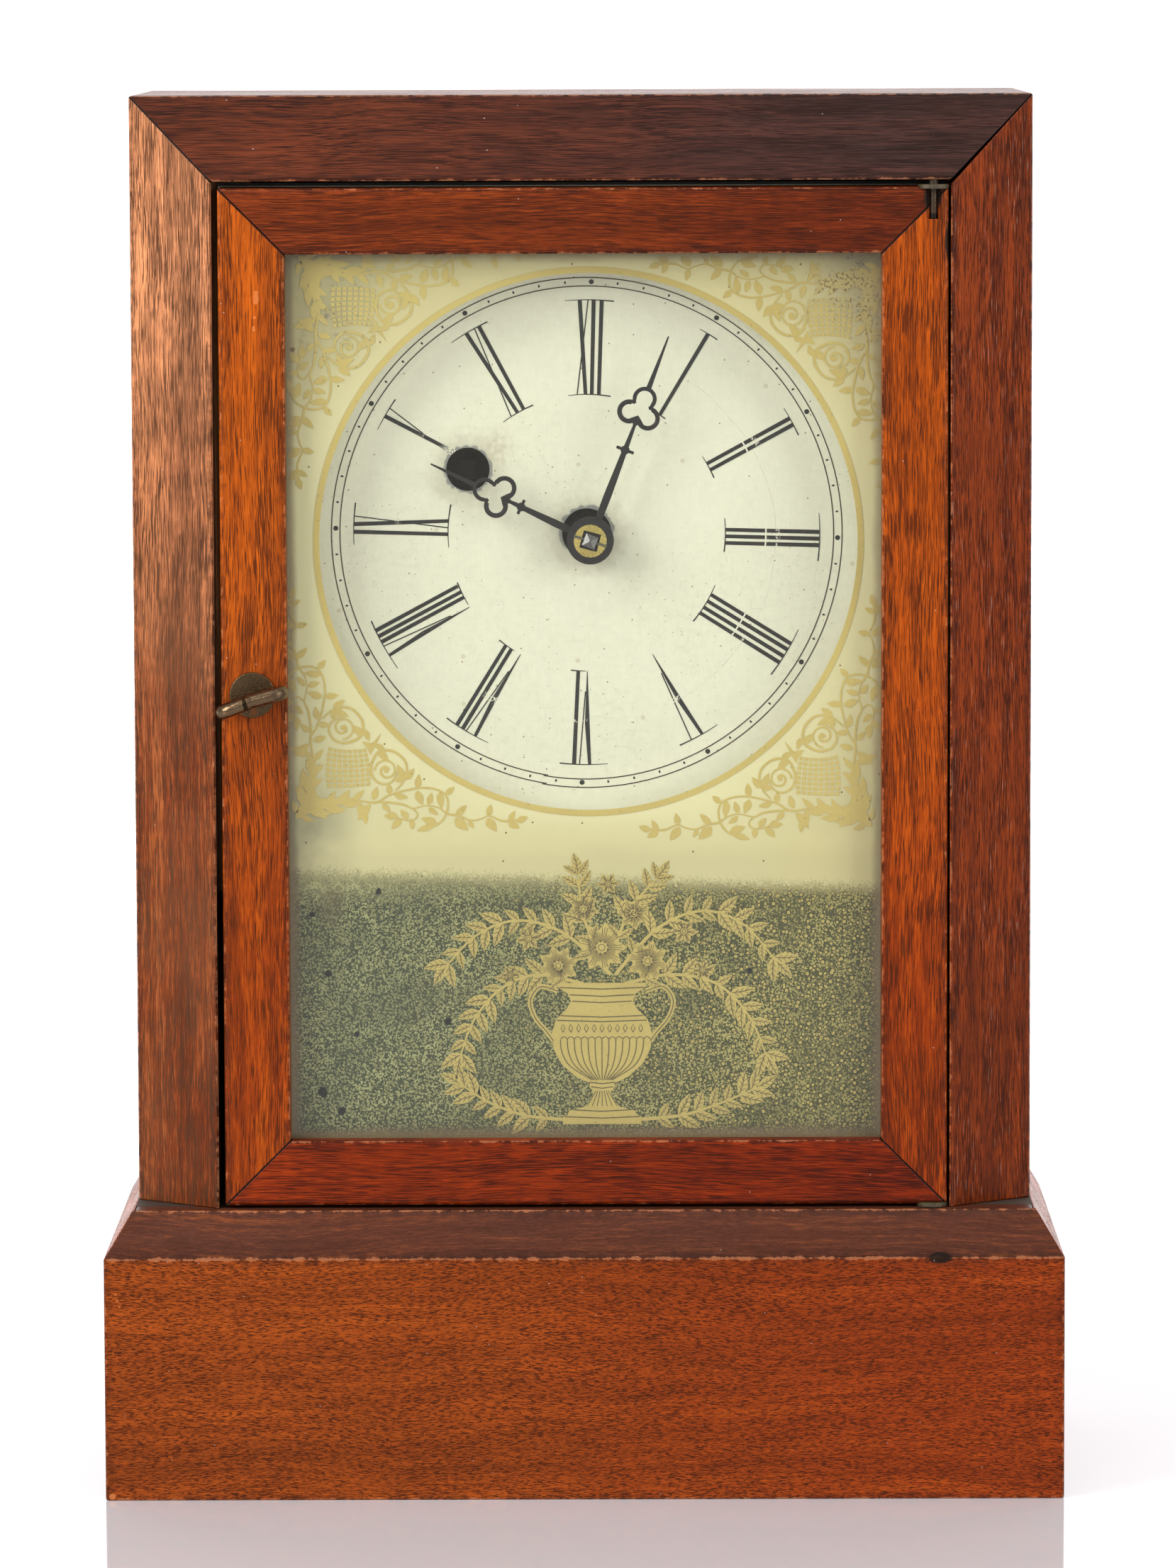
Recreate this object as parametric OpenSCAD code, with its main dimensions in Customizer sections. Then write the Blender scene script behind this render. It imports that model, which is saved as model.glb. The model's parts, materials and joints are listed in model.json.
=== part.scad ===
// Cottage clock: veneered case with a canted front frame, a glazed door, and a
// 30-hour time-only movement with lantern pinions.
// X is to the viewer's right, Y runs from the front to the rear, Z is up.
// The origin is the middle of the base, on the surface that the clock stands on.

/* [Case] */
// Width over the side boards
case_w = 196; // [190:1:210]
// Height over all
case_h = 305; // [300:1:320]
// Depth over all, from the front of the base to the rear
case_d = 100; // [96:1:115]
// Thickness of the side boards
side_t = 8; // [6:0.5:9]
// Thickness of the top board
top_t = 8; // [6:0.5:10]
// Thickness of the floor board
floor_t = 10; // [6:0.5:14]
// Thickness of the back board
back_t = 6; // [4:0.5:7]
// Width of the rabbet that holds the back board
rabbet_w = 4; // [3:0.5:5]

/* [Base] */
// Height of the base
base_h = 63; // [55:1:66]
// Thickness of the front base board
plinth_t = 12; // [11:0.5:14]
// How far the side base boards stand out from the case
plinth_side = 6.5; // [6.1:0.1:9]
// Horizontal run of the bevel on the base
bevel_run = 6; // [3:0.5:6]
// Drop of the bevel on the base
bevel_drop = 9.8; // [6:0.2:14]
// How far the door face lies behind the front of the base
door_set = 8.4; // [8.4:0.2:9.6]

/* [Front frame] */
// Visible width of the canted frame moulding
frame_face = 18.3; // [16:0.1:20]
// How far the outer edge of the moulding lies behind its inner edge
frame_drop = 13; // [8:0.5:14]
// Depth of the moulding
frame_t = 17; // [16:0.5:19]
// Opening at the inner end of the top right mitre
mitre_open = 1; // [0:0.1:1.5]
// Size of the worn arris on the moulding
arris = 0.5; // [0.2:0.1:0.8]

/* [Door] */
// Thickness of the door
door_t = 11; // [10:0.5:12]
// Width of the door rails and stiles
rail_w = 14.3; // [13:0.1:16]
// Thickness of the lip in front of the glass
lip_t = 4.5; // [3.5:0.1:4.8]
// Width of the glazing rebate
rebate_w = 4.5; // [3:0.1:5]
// Gap beside the free edge
gap_free = 1.4; // [1:0.1:2]
// Gap beside the hinge edge
gap_hinge = 0.5; // [0.4:0.05:0.9]
// Gap above the door
gap_top = 1.4; // [1:0.1:2]
// Gap below the door
gap_foot = 0.6; // [0.5:0.1:1]
// Radius of the outer edges
door_round = 1; // [0.8:0.1:1.5]
// Thickness of the glass
glass_t = 2; // [1.5:0.1:2.2]
// Play of the glass in its rebate
glass_play = 0.5; // [0.2:0.1:0.8]

/* [Hinges] */
// Diameter of the pivot pins
pin_d = 2; // [1.6:0.1:2.4]
// Distance of the pivot from the hinge edge
pin_in = 3.2; // [2.8:0.1:3.2]
// Distance of the pivot behind the door face
pin_back = 1.9; // [1.7:0.1:2]
// Length of a pin in the case
pin_hold = 9; // [6:0.5:12]
// Length of a pin in the door
pin_reach = 12; // [8:0.5:16]
// Diameter of the washers
washer_d = 6.8; // [5:0.1:7]
// Thickness of the washers
washer_t = 0.9; // [0.7:0.1:1]
// How far a washer is let into the door
washer_sink = 0.5; // [0.4:0.1:0.6]
// Radial clearance of pins, pipes and pivots that turn
run_fit = 0.06; // [0.04:0.01:0.08]

/* [Latch] */
// Height of the latch above the foot of the door
latch_up = 111.4; // [90:1:140]
// Distance of the latch from the free edge of the door
latch_in = 6.8; // [6:0.1:7.6]
// Diameter of the rose
rose_d = 9.9; // [8:0.1:11]
// Thickness of the rose
rose_t = 0.8; // [0.5:0.1:0.8]
// How far the rose sits above the spindle
rose_up = 0.8; // [0:0.1:1.2]
// Diameter of the spindle
spindle_d = 3; // [2.4:0.1:3.4]
// Diameter of the spindle's collar
collar_d = 4; // [3.6:0.1:4.6]
// Diameter of the ring's wire
wire_d = 2.9; // [2.4:0.1:2.9]
// Length of the ring over all
ring_l = 16.3; // [14:0.1:18]
// How far the middle of the ring's rear wire stands off the rose
ring_off = 1.8; // [1.75:0.05:1.85]
// Bend radius of the ring's near half
bend_near = 2.1; // [1.9:0.05:2.1]
// Bend radius of the ring's far half
bend_far = 1.9; // [1.7:0.05:1.9]
// Slope of the ring at rest
ring_tilt = 18.4; // [0:0.1:25]
// Half the angle between the ring's two halves
ring_twist = 3.6; // [0:0.1:4]
// Reach of the tongue from the spindle
tongue_l = 12; // [11:0.1:12.6]
// Width of the tongue
tongue_w = 4.4; // [3.6:0.1:5]
// Thickness of the tongue
tongue_t = 1.4; // [1:0.1:1.8]
// Angle of the tongue ahead of the ring
tongue_ahead = 90; // [85:1:95]

/* [Dial] */
// Place of the hands to the right of the case's middle
hand_x = 1.8; // [-3:0.1:3]
// Distance of the hands below the top of the case
hand_down = 96.7; // [94:0.5:102]
// Thickness of the dial sheet
dial_t = 0.5; // [0.3:0.1:0.7]
// Distance from the hands to the lower edge of the dial
dial_drop = 77.3; // [72:0.5:80]
// Play of the dial in the frame opening
dial_play = 0.7; // [0.4:0.1:1]
// Place of the dial's printed centre to the right of the hands
dial_dx = -0.8; // [-1:0.1:0.5]
// Place of the dial's printed centre above the hands
dial_dz = 1.2; // [0:0.1:1.4]
// Radius of the centre hole
centre_hole_r = 5.4; // [5.2:0.1:6]
// Radius of the winding hole
wind_hole_r = 4.75; // [4.2:0.05:5.2]
// Width of the strips that carry the dial, inside the opening
strip_lap = 7.7; // [6:0.1:9]
// Depth of the strips that carry the dial
strip_t = 11.5; // [8:0.5:14]

/* [Hands] */
// Length of the minute hand
minute_l = 47.6; // [44:0.1:50]
// Angle of the minute hand at rest, clockwise from twelve
minute_at = 21.1; // [0:0.1:360]
// Length of the hour hand
hour_l = 38.5; // [36:0.1:42]
// Angle of the hour hand at rest, clockwise from twelve
hour_at = 295.7; // [0:0.1:360]
// Thickness of the hands
hand_t = 0.6; // [0.4:0.1:0.7]
// Distance of the hour hand in front of the dial
hour_off = 4.2; // [3:0.1:4.4]
// Distance of the minute hand in front of the dial
minute_off = 7; // [6.4:0.1:7.2]
// Distance of the hour hand's bar from the centre
hour_bar = 16.7; // [15:0.1:17.5]
// Distance of the hour hand's trefoil from the centre
hour_trefoil = 23; // [22:0.1:24]
// Distance of the minute hand's bar from the centre
minute_bar = 21.2; // [19:0.1:22.5]
// Distance of the minute hand's trefoil from the centre
minute_trefoil = 30.6; // [29:0.1:32]
// Radius of the trefoil's lobes
lobe_r = 2.62; // [2.4:0.01:2.8]
// Distance of the lobes from the trefoil's centre
lobe_off = 2.5; // [2.3:0.05:2.6]
// Width of the metal round the trefoil
lobe_w = 0.7; // [0.5:0.05:0.8]
// Outer radius of the minute hand's collar
collar_r = 5.1; // [4.8:0.1:5.4]
// Inner radius of the minute hand's collar, round the washer
collar_in = 3.6; // [3.4:0.1:3.8]
// Side of the square hole in the brass washer
washer_square = 3.9; // [3.6:0.1:4.2]
// Side of the square on the end of the centre arbor
hand_square = 2.8; // [2.6:0.1:2.9]
// Diameter of the taper pin
taper_d = 0.5; // [0.4:0.05:0.6]
// Length of the taper pin
taper_l = 7.6; // [7:0.1:9]

/* [Movement] */
// Distance of the front plate behind the dial's face
plate_off = 21; // [20.5:0.1:21.5]
// Thickness of the plates
plate_t = 1.5; // [1.2:0.1:1.6]
// Clear space between the plates
plate_gap = 26.5; // [26.3:0.1:28]
// Radius of the pillars
pillar_r = 3.2; // [2.8:0.1:3.6]
// Radius of the pillars' threaded ends
pillar_end_r = 1.8; // [1.5:0.1:2]
// Thickness of the pillar nuts
nut_t = 2.2; // [1.8:0.1:2.4]
// Length of the movement screws under their heads
screw_l = 13.5; // [10:0.5:16]
// Radius of the winding arbor
wind_r = 3; // [2.8:0.1:3.2]
// Side of the winding square
wind_square = 3.6; // [3.2:0.1:3.7]
// Distance of the winding square's end behind the dial's face
wind_end = 9; // [6:0.5:12]
// Radius of the centre arbor
centre_r = 1.9; // [1.8:0.05:2]
// Radius of the third arbor
third_r = 0.8; // [0.7:0.05:0.85]
// Radius of the escape arbor
escape_r = 0.7; // [0.6:0.05:0.72]
// Radius of the pivots of the thin arbors
pivot_r = 0.5; // [0.4:0.05:0.55]
// Radius of the verge arbor
verge_r = 0.7; // [0.6:0.05:0.8]
// Outer radius of the hour pipe
pipe_r = 3.4; // [3.2:0.1:3.6]
// Thickness of the wheels
wheel_t = 1.2; // [1:0.1:1.3]
// Thickness of the lantern shrouds
shroud_t = 1; // [0.8:0.1:1]
// Thickness of the mainspring
spring_t = 0.5; // [0.4:0.05:0.6]
// Outer radius of the mainspring
spring_r = 23; // [20:0.5:24]

/* [Pendulum] */
// Place of the pendulum to the right of the hands
pend_dx = 7.7; // [7.4:0.1:8]
// Length of the crutch
crutch_l = 30; // [27:0.5:31]
// Height of the middle of the bob above the floor board
bob_up = 52.5; // [49:0.5:55]
// Radius of the pendulum rod
rod_r = 0.7; // [0.6:0.05:0.75]
// Radius of the bob
bob_r = 15; // [12:0.5:16]
// Thickness of the bob
bob_t = 8; // [6:0.5:9]

/* [Hidden] */
$fn = 96;

// A length that cuts right through
far = 400;

// Main planes of the case
front_y = -case_d / 2;
rear_y = case_d / 2;
face_y = front_y + door_set;
frame_back = face_y + frame_t;
back_y = rear_y - back_t;
plinth_back = front_y + plinth_t;
half_w = case_w / 2;
inner_x = half_w - side_t;
base_x = half_w + plinth_side;
open_x = half_w - frame_face;
open_top = case_h - frame_face;
ceiling = case_h - top_t;

// Outline of the door and of its glass
door_x0 = -open_x + gap_free;
door_x1 = open_x - gap_hinge;
door_z0 = base_h + gap_foot;
door_z1 = open_top - gap_top;
glass_y = face_y + lip_t;
glass_in = rail_w - rebate_w + glass_play;

// Hinge and latch
pin_x = door_x1 - pin_in;
pin_y = face_y + pin_back;
pin_r = pin_d / 2;
latch_x = door_x0 + latch_in;
latch_z = door_z0 + latch_up;
ring_y = face_y - rose_t - ring_off;
bore_clear = 0.3;
tongue_y = face_y + door_t + bore_clear;
tongue_angle = ring_tilt + tongue_ahead;
// Room round the tongue in the strike slot
strike_room = 0.7;

// Hands and dial
hand_z = case_h - hand_down;
dial_y = frame_back;
dial_low = hand_z - dial_drop;
dial_top = open_top - dial_play;
dial_half = open_x - dial_play;
hour_y = dial_y - hour_off - hand_t;
minute_y = dial_y - minute_off - hand_t;
// Height of the raised rim round the minute hand's washer, and its washer
rim_t = 0.5;
hand_washer_t = 0.42;
nail_r = 0.7;
nail_head_r = 1.5;
nail_head_t = 0.6;

// Plates and the places of the arbors in them
plate_y = dial_y + plate_off;
inside_y = plate_y + plate_t;
back_plate_y = inside_y + plate_gap;
plate_rear = back_plate_y + plate_t;
plate_left = -52;
plate_right = 44;
plate_low = -40;
plate_high = 60;
pillar_in = 6;
ear_out = 5;
ear_r = 5;
screw_r = 1.5;

// Going train: teeth and modules
great_n = 60;
centre_pinion_n = 8;
centre_n = 72;
third_pinion_n = 6;
third_n = 66;
escape_pinion_n = 6;
escape_n = 36;
great_m = 0.9044;
centre_m = 0.6;
third_m = 0.5;
wind_angle = 151;

// Motion work: teeth and modules
minute_pinion_n = 14;
minute_wheel_n = 42;
minute_leaf_n = 10;
hour_n = 40;
minute_m = 0.5;
hour_m = 0.56;
motion_angle = 240;

// Escapement, and the height of the escape wheel above the hands
escape_up = 23.2;
escape_tip = 14;
verge_span = 65;
verge_lift = escape_tip / cos(verge_span / 2);
verge_engage = 0.1;
strip_verge_t = 0.4;

function polar(r, a) = [r * cos(a), r * sin(a)];
function arc(c, r, a0, a1, n) = [for (i = [0:n]) c + polar(r, a0 + (a1 - a0) * i / n)];
function dir(v) = atan2(v[1], v[0]);

// Places of the arbors, as [x, z]
centre_at = [hand_x, hand_z];
wind_at = centre_at + polar((great_n + centre_pinion_n) * great_m / 2, wind_angle);
motion_at = centre_at + polar((minute_pinion_n + minute_wheel_n) * minute_m / 2, motion_angle);
pend_x = hand_x + pend_dx;
escape_at = [pend_x, hand_z + escape_up];
verge_at = escape_at + [0, verge_lift];
bend_at = verge_at + [0, crutch_l / 3];
centre_third = (centre_n + third_pinion_n) * centre_m / 2;
third_escape = (third_n + escape_pinion_n) * third_m / 2;
centre_escape = norm(escape_at - centre_at);
third_turn = acos((centre_escape ^ 2 + centre_third ^ 2 - third_escape ^ 2)
    / (2 * centre_escape * centre_third));
third_at = centre_at + polar(centre_third, dir(escape_at - centre_at) - third_turn);
bob_z = base_h + bob_up;

// Planes of the wheels, each its front face
escape_y = inside_y + 0.8;
great_y = inside_y + 5.5;
great_t = 1.6;
ratchet_y = great_y - 2;
ratchet_t = 1.8;
centre_wheel_y = inside_y + 11.1;
third_wheel_y = inside_y + 17.5;
spring_y = inside_y + 13.6;
spring_h = 11;
hour_wheel_y = dial_y + 8.8;
minute_wheel_y = dial_y + 12.4;
pend_y = dial_y + 17.5;
crutch_y = pend_y + 1.9;

// Ratchet and click
ratchet_n = 18;
ratchet_r = 10;
ratchet_depth = 1.6;
click_r = 18;
click_angle = 58.6;
stud_r = 1;

// A flat shape drawn in x and z, from y0 backwards over a thickness
module slab(y0, t) {
    translate([0, y0 + t, 0]) rotate([90, 0, 0]) linear_extrude(t) children();
}

// A round rod along y through the point at
module rod(at, r, y0, y1) {
    translate([at[0], y1, at[1]]) rotate([90, 0, 0]) cylinder(r = r, h = y1 - y0);
}

module disc(at, r) {
    translate(at) circle(r);
}

// A straight strip of a given width between two points
module strip(p, q, w) {
    translate(p) rotate(dir(q - p)) translate([0, -w / 2]) square([norm(q - p), w]);
}

module board(x0, x1, y0, y1, z0, z1) {
    translate([x0, y0, z0]) cube([x1 - x0, y1 - y0, z1 - z0]);
}

// Case boards

module back_nails_shape() {
    rows = [base_h - floor_t / 2, (base_h + ceiling) / 2, ceiling - 12];
    for (side = [-1, 1]) {
        for (z = rows) {
            at = [side * (inner_x + rabbet_w / 2), z];
            rod(at, nail_r, rear_y - 16, rear_y - nail_head_t);
            rod(at, nail_head_r, rear_y - nail_head_t, rear_y);
        }
    }
}

module back_nails() {
    color("dimgray") back_nails_shape();
}

module side_board(side) {
    outline = [
        [inner_x, plinth_back], [half_w, plinth_back], [half_w, rear_y],
        [inner_x + rabbet_w, rear_y], [inner_x + rabbet_w, back_y], [inner_x, back_y]
    ];
    difference() {
        mirror([side < 0 ? 1 : 0, 0, 0]) difference() {
            linear_extrude(ceiling) polygon(outline);
            translate([inner_x - 1, plinth_back - 1, base_h - floor_t])
                cube([side_t + 2, frame_back - plinth_back + 1, far]);
        }
        back_nails_shape();
    }
}

module side_board_left() {
    color("saddlebrown") side_board(-1);
}

module side_board_right() {
    color("saddlebrown") side_board(1);
}

module top_board() {
    color("saddlebrown") board(-half_w, half_w, frame_back, rear_y, ceiling, case_h);
}

module floor_board() {
    color("burlywood") {
        board(-inner_x, inner_x, plinth_back, back_y, base_h - floor_t, base_h);
        board(-half_w, half_w, plinth_back, frame_back, base_h - floor_t, base_h);
    }
}

module back_board() {
    reach = inner_x + rabbet_w;
    color("peru") difference() {
        board(-reach, reach, back_y, rear_y, 0, ceiling);
        back_nails_shape();
    }
}

// Front frame: canted mouldings round the door

module frame_section(flip) {
    cant = frame_drop / frame_face;
    pts = [
        [0, arris], [arris, cant * arris],
        [frame_face - arris, frame_drop - cant * arris],
        [frame_face, frame_drop + arris], [frame_face, frame_t], [0, frame_t]
    ];
    polygon(flip ? [for (p = pts) [p[1], p[0]]] : pts);
}

module frame_top_rail() {
    outline = [
        [-open_x, open_top], [open_x, open_top], [half_w, case_h], [-half_w, case_h]
    ];
    color("saddlebrown") difference() {
        intersection() {
            translate([-half_w, face_y, open_top]) rotate([90, 0, 90])
                linear_extrude(case_w) frame_section(true);
            slab(face_y, frame_t) polygon(outline);
        }
        hinge_pins_shape();
    }
}

module frame_stile(gap) {
    outline = [
        [open_x, base_h], [half_w, base_h], [half_w, case_h], [open_x, open_top - gap]
    ];
    intersection() {
        translate([open_x, face_y, base_h]) linear_extrude(case_h - base_h) frame_section(false);
        slab(face_y, frame_t) polygon(outline);
    }
}

// The slot in the left stile that the tongue of the latch turns into
module strike_slot() {
    low = latch_z - tongue_w / 2 - strike_room;
    reach = latch_x - tongue_l - strike_room;
    entry = sqrt(tongue_l ^ 2 - (latch_x + open_x) ^ 2) + tongue_w / 2 + strike_room;
    board(reach, -open_x + 1, tongue_y - strike_room, tongue_y + tongue_t + strike_room,
        low, latch_z + entry);
}

module frame_stile_left() {
    color("saddlebrown") difference() {
        mirror([1, 0, 0]) frame_stile(0);
        strike_slot();
    }
}

module frame_stile_right() {
    color("saddlebrown") frame_stile(mitre_open);
}

// Base

module plinth_section(t) {
    polygon([[0, 0], [t, 0], [t, base_h], [bevel_run, base_h], [0, base_h - bevel_drop]]);
}

module plinth_front() {
    outline = [
        [-base_x, front_y], [base_x, front_y], [half_w, front_y + plinth_side],
        [half_w, plinth_back], [-half_w, plinth_back], [-half_w, front_y + plinth_side]
    ];
    color("sienna") difference() {
        intersection() {
            translate([-base_x, front_y, 0]) rotate([90, 0, 90])
                linear_extrude(2 * base_x) plinth_section(plinth_t);
            linear_extrude(base_h) polygon(outline);
        }
        hinge_pins_shape();
    }
}

module plinth_side_board() {
    outline = [
        [base_x, front_y], [base_x, rear_y], [half_w, rear_y], [half_w, front_y + plinth_side]
    ];
    intersection() {
        translate([base_x, rear_y, 0]) rotate([90, 0, 0]) mirror([1, 0, 0])
            linear_extrude(case_d) plinth_section(plinth_side);
        linear_extrude(base_h) polygon(outline);
    }
}

module plinth_left() {
    color("sienna") mirror([1, 0, 0]) plinth_side_board();
}

module plinth_right() {
    color("sienna") plinth_side_board();
}

// Door

module door_section(flip) {
    round = arc([door_round, door_round], door_round, 180, 270, 6);
    pts = concat(round, [
        [rail_w - 0.3, 0], [rail_w, 0.3], [rail_w, lip_t], [rail_w - rebate_w, lip_t],
        [rail_w - rebate_w, door_t], [0, door_t]
    ]);
    polygon(flip ? [for (p = pts) [p[1], p[0]]] : pts);
}

// Outline in x and z of a mitred member of a frame; side is left, right, foot or head
function mitred(x0, x1, z0, z1, w, side) =
    side == "left" ? [[x0, z0], [x0 + w, z0 + w], [x0 + w, z1 - w], [x0, z1]] :
    side == "right" ? [[x1, z0], [x1, z1], [x1 - w, z1 - w], [x1 - w, z0 + w]] :
    side == "foot" ? [[x0, z0], [x1, z0], [x1 - w, z0 + w], [x0 + w, z0 + w]] :
    [[x0, z1], [x0 + w, z1 - w], [x1 - w, z1 - w], [x1, z1]];

module door_member(side) {
    intersection() {
        if (side == "left")
            translate([door_x0, face_y, door_z0]) linear_extrude(door_z1 - door_z0)
                door_section(false);
        else if (side == "right")
            translate([door_x1, face_y, door_z0]) mirror([1, 0, 0])
                linear_extrude(door_z1 - door_z0) door_section(false);
        else if (side == "foot")
            translate([door_x0, face_y, door_z0]) rotate([90, 0, 90])
                linear_extrude(door_x1 - door_x0) door_section(true);
        else
            translate([door_x0, face_y, door_z1]) mirror([0, 0, 1]) rotate([90, 0, 90])
                linear_extrude(door_x1 - door_x0) door_section(true);
        slab(face_y, door_t)
            polygon(mitred(door_x0, door_x1, door_z0, door_z1, rail_w, side));
    }
}

// What the hinges take out of the door: pin bores, washer seats and the worn face
module hinge_cuts() {
    for (end = [0, 1]) {
        z = end == 0 ? door_z0 : door_z1;
        translate([pin_x, pin_y, z - pin_reach - 0.5])
            cylinder(r = pin_r + run_fit, h = 2 * pin_reach + 1);
        translate([pin_x, pin_y, z - washer_sink]) cylinder(d = washer_d, h = 2 * washer_sink);
    }
    wear = 7;
    translate([pin_x, face_y - 0.1, door_z1 - wear]) cylinder(r = 1.5, h = wear + 1);
}

module door_top_rail() {
    color("chocolate") difference() {
        door_member("head");
        hinge_cuts();
    }
}

module door_bottom_rail() {
    color("chocolate") difference() {
        door_member("foot");
        hinge_cuts();
    }
}

module door_stile_left() {
    color("chocolate") difference() {
        door_member("left");
        rod([latch_x, latch_z], spindle_d / 2 + run_fit, face_y - 1, face_y + door_t + 1);
        rose_pin_shape();
    }
}

module door_stile_right() {
    color("chocolate") difference() {
        door_member("right");
        hinge_cuts();
    }
}

module door_glass() {
    color("palegoldenrod", 0.5)
        board(door_x0 + glass_in, door_x1 - glass_in, glass_y, glass_y + glass_t,
            door_z0 + glass_in, door_z1 - glass_in);
}

// Putty round the glass, wide at the glass and narrow at the back of the door: a flat
// frame cut by the common part of an upright wedge and a level one
module glazing_putty() {
    x0 = door_x0 + rail_w - rebate_w;
    x1 = door_x1 - rail_w + rebate_w;
    z0 = door_z0 + rail_w - rebate_w;
    z1 = door_z1 - rail_w + rebate_w;
    y0 = glass_y + glass_t;
    y1 = face_y + door_t - 0.4;
    wide = rebate_w - 0.5;
    thin = 0.6;
    slope = (wide - thin) / (y1 - y0);
    near = wide + slope;
    rear = thin - slope / 4;
    color("lightgray") difference() {
        board(x0, x1, y0, y1, z0, z1);
        intersection() {
            translate([0, 0, z0 - 1]) linear_extrude(z1 - z0 + 2) polygon([
                [x0 + near, y0 - 1], [x1 - near, y0 - 1],
                [x1 - rear, y1 + 0.25], [x0 + rear, y1 + 0.25]
            ]);
            translate([x0 - 1, 0, 0]) rotate([90, 0, 90]) linear_extrude(x1 - x0 + 2) polygon([
                [y0 - 1, z0 + near], [y0 - 1, z1 - near],
                [y1 + 0.25, z1 - rear], [y1 + 0.25, z0 + rear]
            ]);
        }
    }
}

// The lower pin is driven into the base, the upper one is bent back into the dial strip
module hinge_pins_shape() {
    leg_z = open_top + 0.3;
    translate([pin_x, pin_y, door_z1 - pin_reach])
        cylinder(r = pin_r, h = leg_z - door_z1 + pin_reach);
    translate([pin_x, pin_y, leg_z]) sphere(pin_r);
    rod([pin_x, leg_z], pin_r, pin_y, frame_back + pin_hold);
    translate([pin_x, pin_y, base_h - pin_hold])
        cylinder(r = pin_r, h = pin_hold + gap_foot + pin_reach);
}

module hinge_pins() {
    color("slategray") hinge_pins_shape();
}

module hinge_washers() {
    color("darkkhaki") for (z = [door_z1 - washer_sink, door_z0 + washer_sink - washer_t]) {
        translate([pin_x, pin_y, z]) difference() {
            cylinder(d = washer_d, h = washer_t);
            translate([0, 0, -1]) cylinder(r = pin_r + run_fit, h = washer_t + 2);
        }
    }
}

// Latch

module rose_pin_shape() {
    at = [latch_x + 0.3, latch_z - rose_d / 2 + rose_up + 1.3];
    rod(at, 0.8, face_y - rose_t - 0.08, face_y - rose_t);
    rod(at, 0.5, face_y - rose_t, face_y + 5);
}

module rose_pin() {
    color("goldenrod") rose_pin_shape();
}

module latch_rose() {
    color("olivedrab") difference() {
        rod([latch_x, latch_z + rose_up], rose_d / 2, face_y - rose_t, face_y);
        rod([latch_x, latch_z], spindle_d / 2 + run_fit, face_y - 2, face_y + 1);
        rose_pin_shape();
    }
}

module latch_spindle() {
    at = [latch_x, latch_z];
    color("darkolivegreen") difference() {
        union() {
            rod(at, collar_d / 2, ring_y, face_y - rose_t - 0.05);
            rod(at, spindle_d / 2, face_y - rose_t - 0.1, tongue_y);
            rod(at, spindle_d / 2 - 0.4, tongue_y - 0.1, tongue_y + tongue_t + 0.8);
        }
        ring_shape();
    }
}

// One half of the ring: rear wire, end bend and front wire
module ring_half(bend, front_end) {
    run = ring_l / 2 - wire_d / 2 - bend;
    rotate([0, 90, 0]) cylinder(d = wire_d, h = run);
    translate([run, -bend, 0]) rotate([0, 0, -90]) rotate_extrude(angle = 180)
        translate([bend, 0]) circle(d = wire_d);
    translate([front_end, -2 * bend, 0]) rotate([0, 90, 0]) cylinder(d = wire_d, h = run - front_end);
}

module ring_shape() {
    translate([latch_x, ring_y, latch_z]) rotate([0, -ring_tilt, 0]) {
        rotate([0, ring_twist, 0]) ring_half(bend_near, 0.2);
        rotate([0, -ring_twist, 0]) mirror([1, 0, 0]) ring_half(bend_far, 0);
        sphere(d = wire_d);
    }
}

module latch_ring() {
    color("darkolivegreen") ring_shape();
}

module latch_tongue() {
    at = [latch_x, latch_z];
    color("goldenrod") difference() {
        slab(tongue_y, tongue_t) {
            disc(at, tongue_w / 2);
            strip(at, at + polar(tongue_l - tongue_w / 2, tongue_angle), tongue_w);
            disc(at + polar(tongue_l - tongue_w / 2, tongue_angle), tongue_w / 2);
        }
        rod(at, spindle_d / 2 - 0.4, tongue_y - 1, tongue_y + tongue_t + 1);
    }
}

// Dial

module dial_nails_shape() {
    for (x = [-dial_half + 3.5, dial_half - 3.5]) {
        for (z = [dial_low + 5, dial_top - 5]) {
            rod([x, z], nail_head_r, dial_y - nail_head_t, dial_y);
            rod([x, z], nail_r, dial_y, dial_y + strip_t - 3);
        }
    }
}

module dial_nails() {
    color("dimgray") dial_nails_shape();
}

module dial_plate() {
    color("ivory") difference() {
        board(-dial_half, dial_half, dial_y, dial_y + dial_t, dial_low, dial_top);
        rod(centre_at + [dial_dx, dial_dz], centre_hole_r, dial_y - 1, dial_y + 2);
        rod(wind_at + [0.2, 0.3], wind_hole_r, dial_y - 1, dial_y + 2);
        dial_nails_shape();
    }
}

module dial_strips() {
    lap = open_x - strip_lap;
    outline = [
        [lap, dial_y + dial_t], [open_x - dial_play / 2, dial_y + dial_t],
        [open_x - dial_play / 2, dial_y], [inner_x, dial_y], [inner_x, dial_y + strip_t],
        [lap, dial_y + strip_t]
    ];
    color("burlywood") difference() {
        for (flip = [0, 1]) {
            mirror([flip, 0, 0]) translate([0, 0, dial_low])
                linear_extrude(ceiling - dial_low) polygon(outline);
        }
        dial_nails_shape();
        hinge_pins_shape();
    }
}

// Hands

module trefoil(at) {
    difference() {
        for (a = [90, 210, 330]) disc([0, at] + polar(lobe_off, a), lobe_r);
        for (a = [90, 210, 330]) disc([0, at] + polar(lobe_off, a), lobe_r - lobe_w);
        disc([0, at], lobe_off - lobe_w);
    }
}

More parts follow.
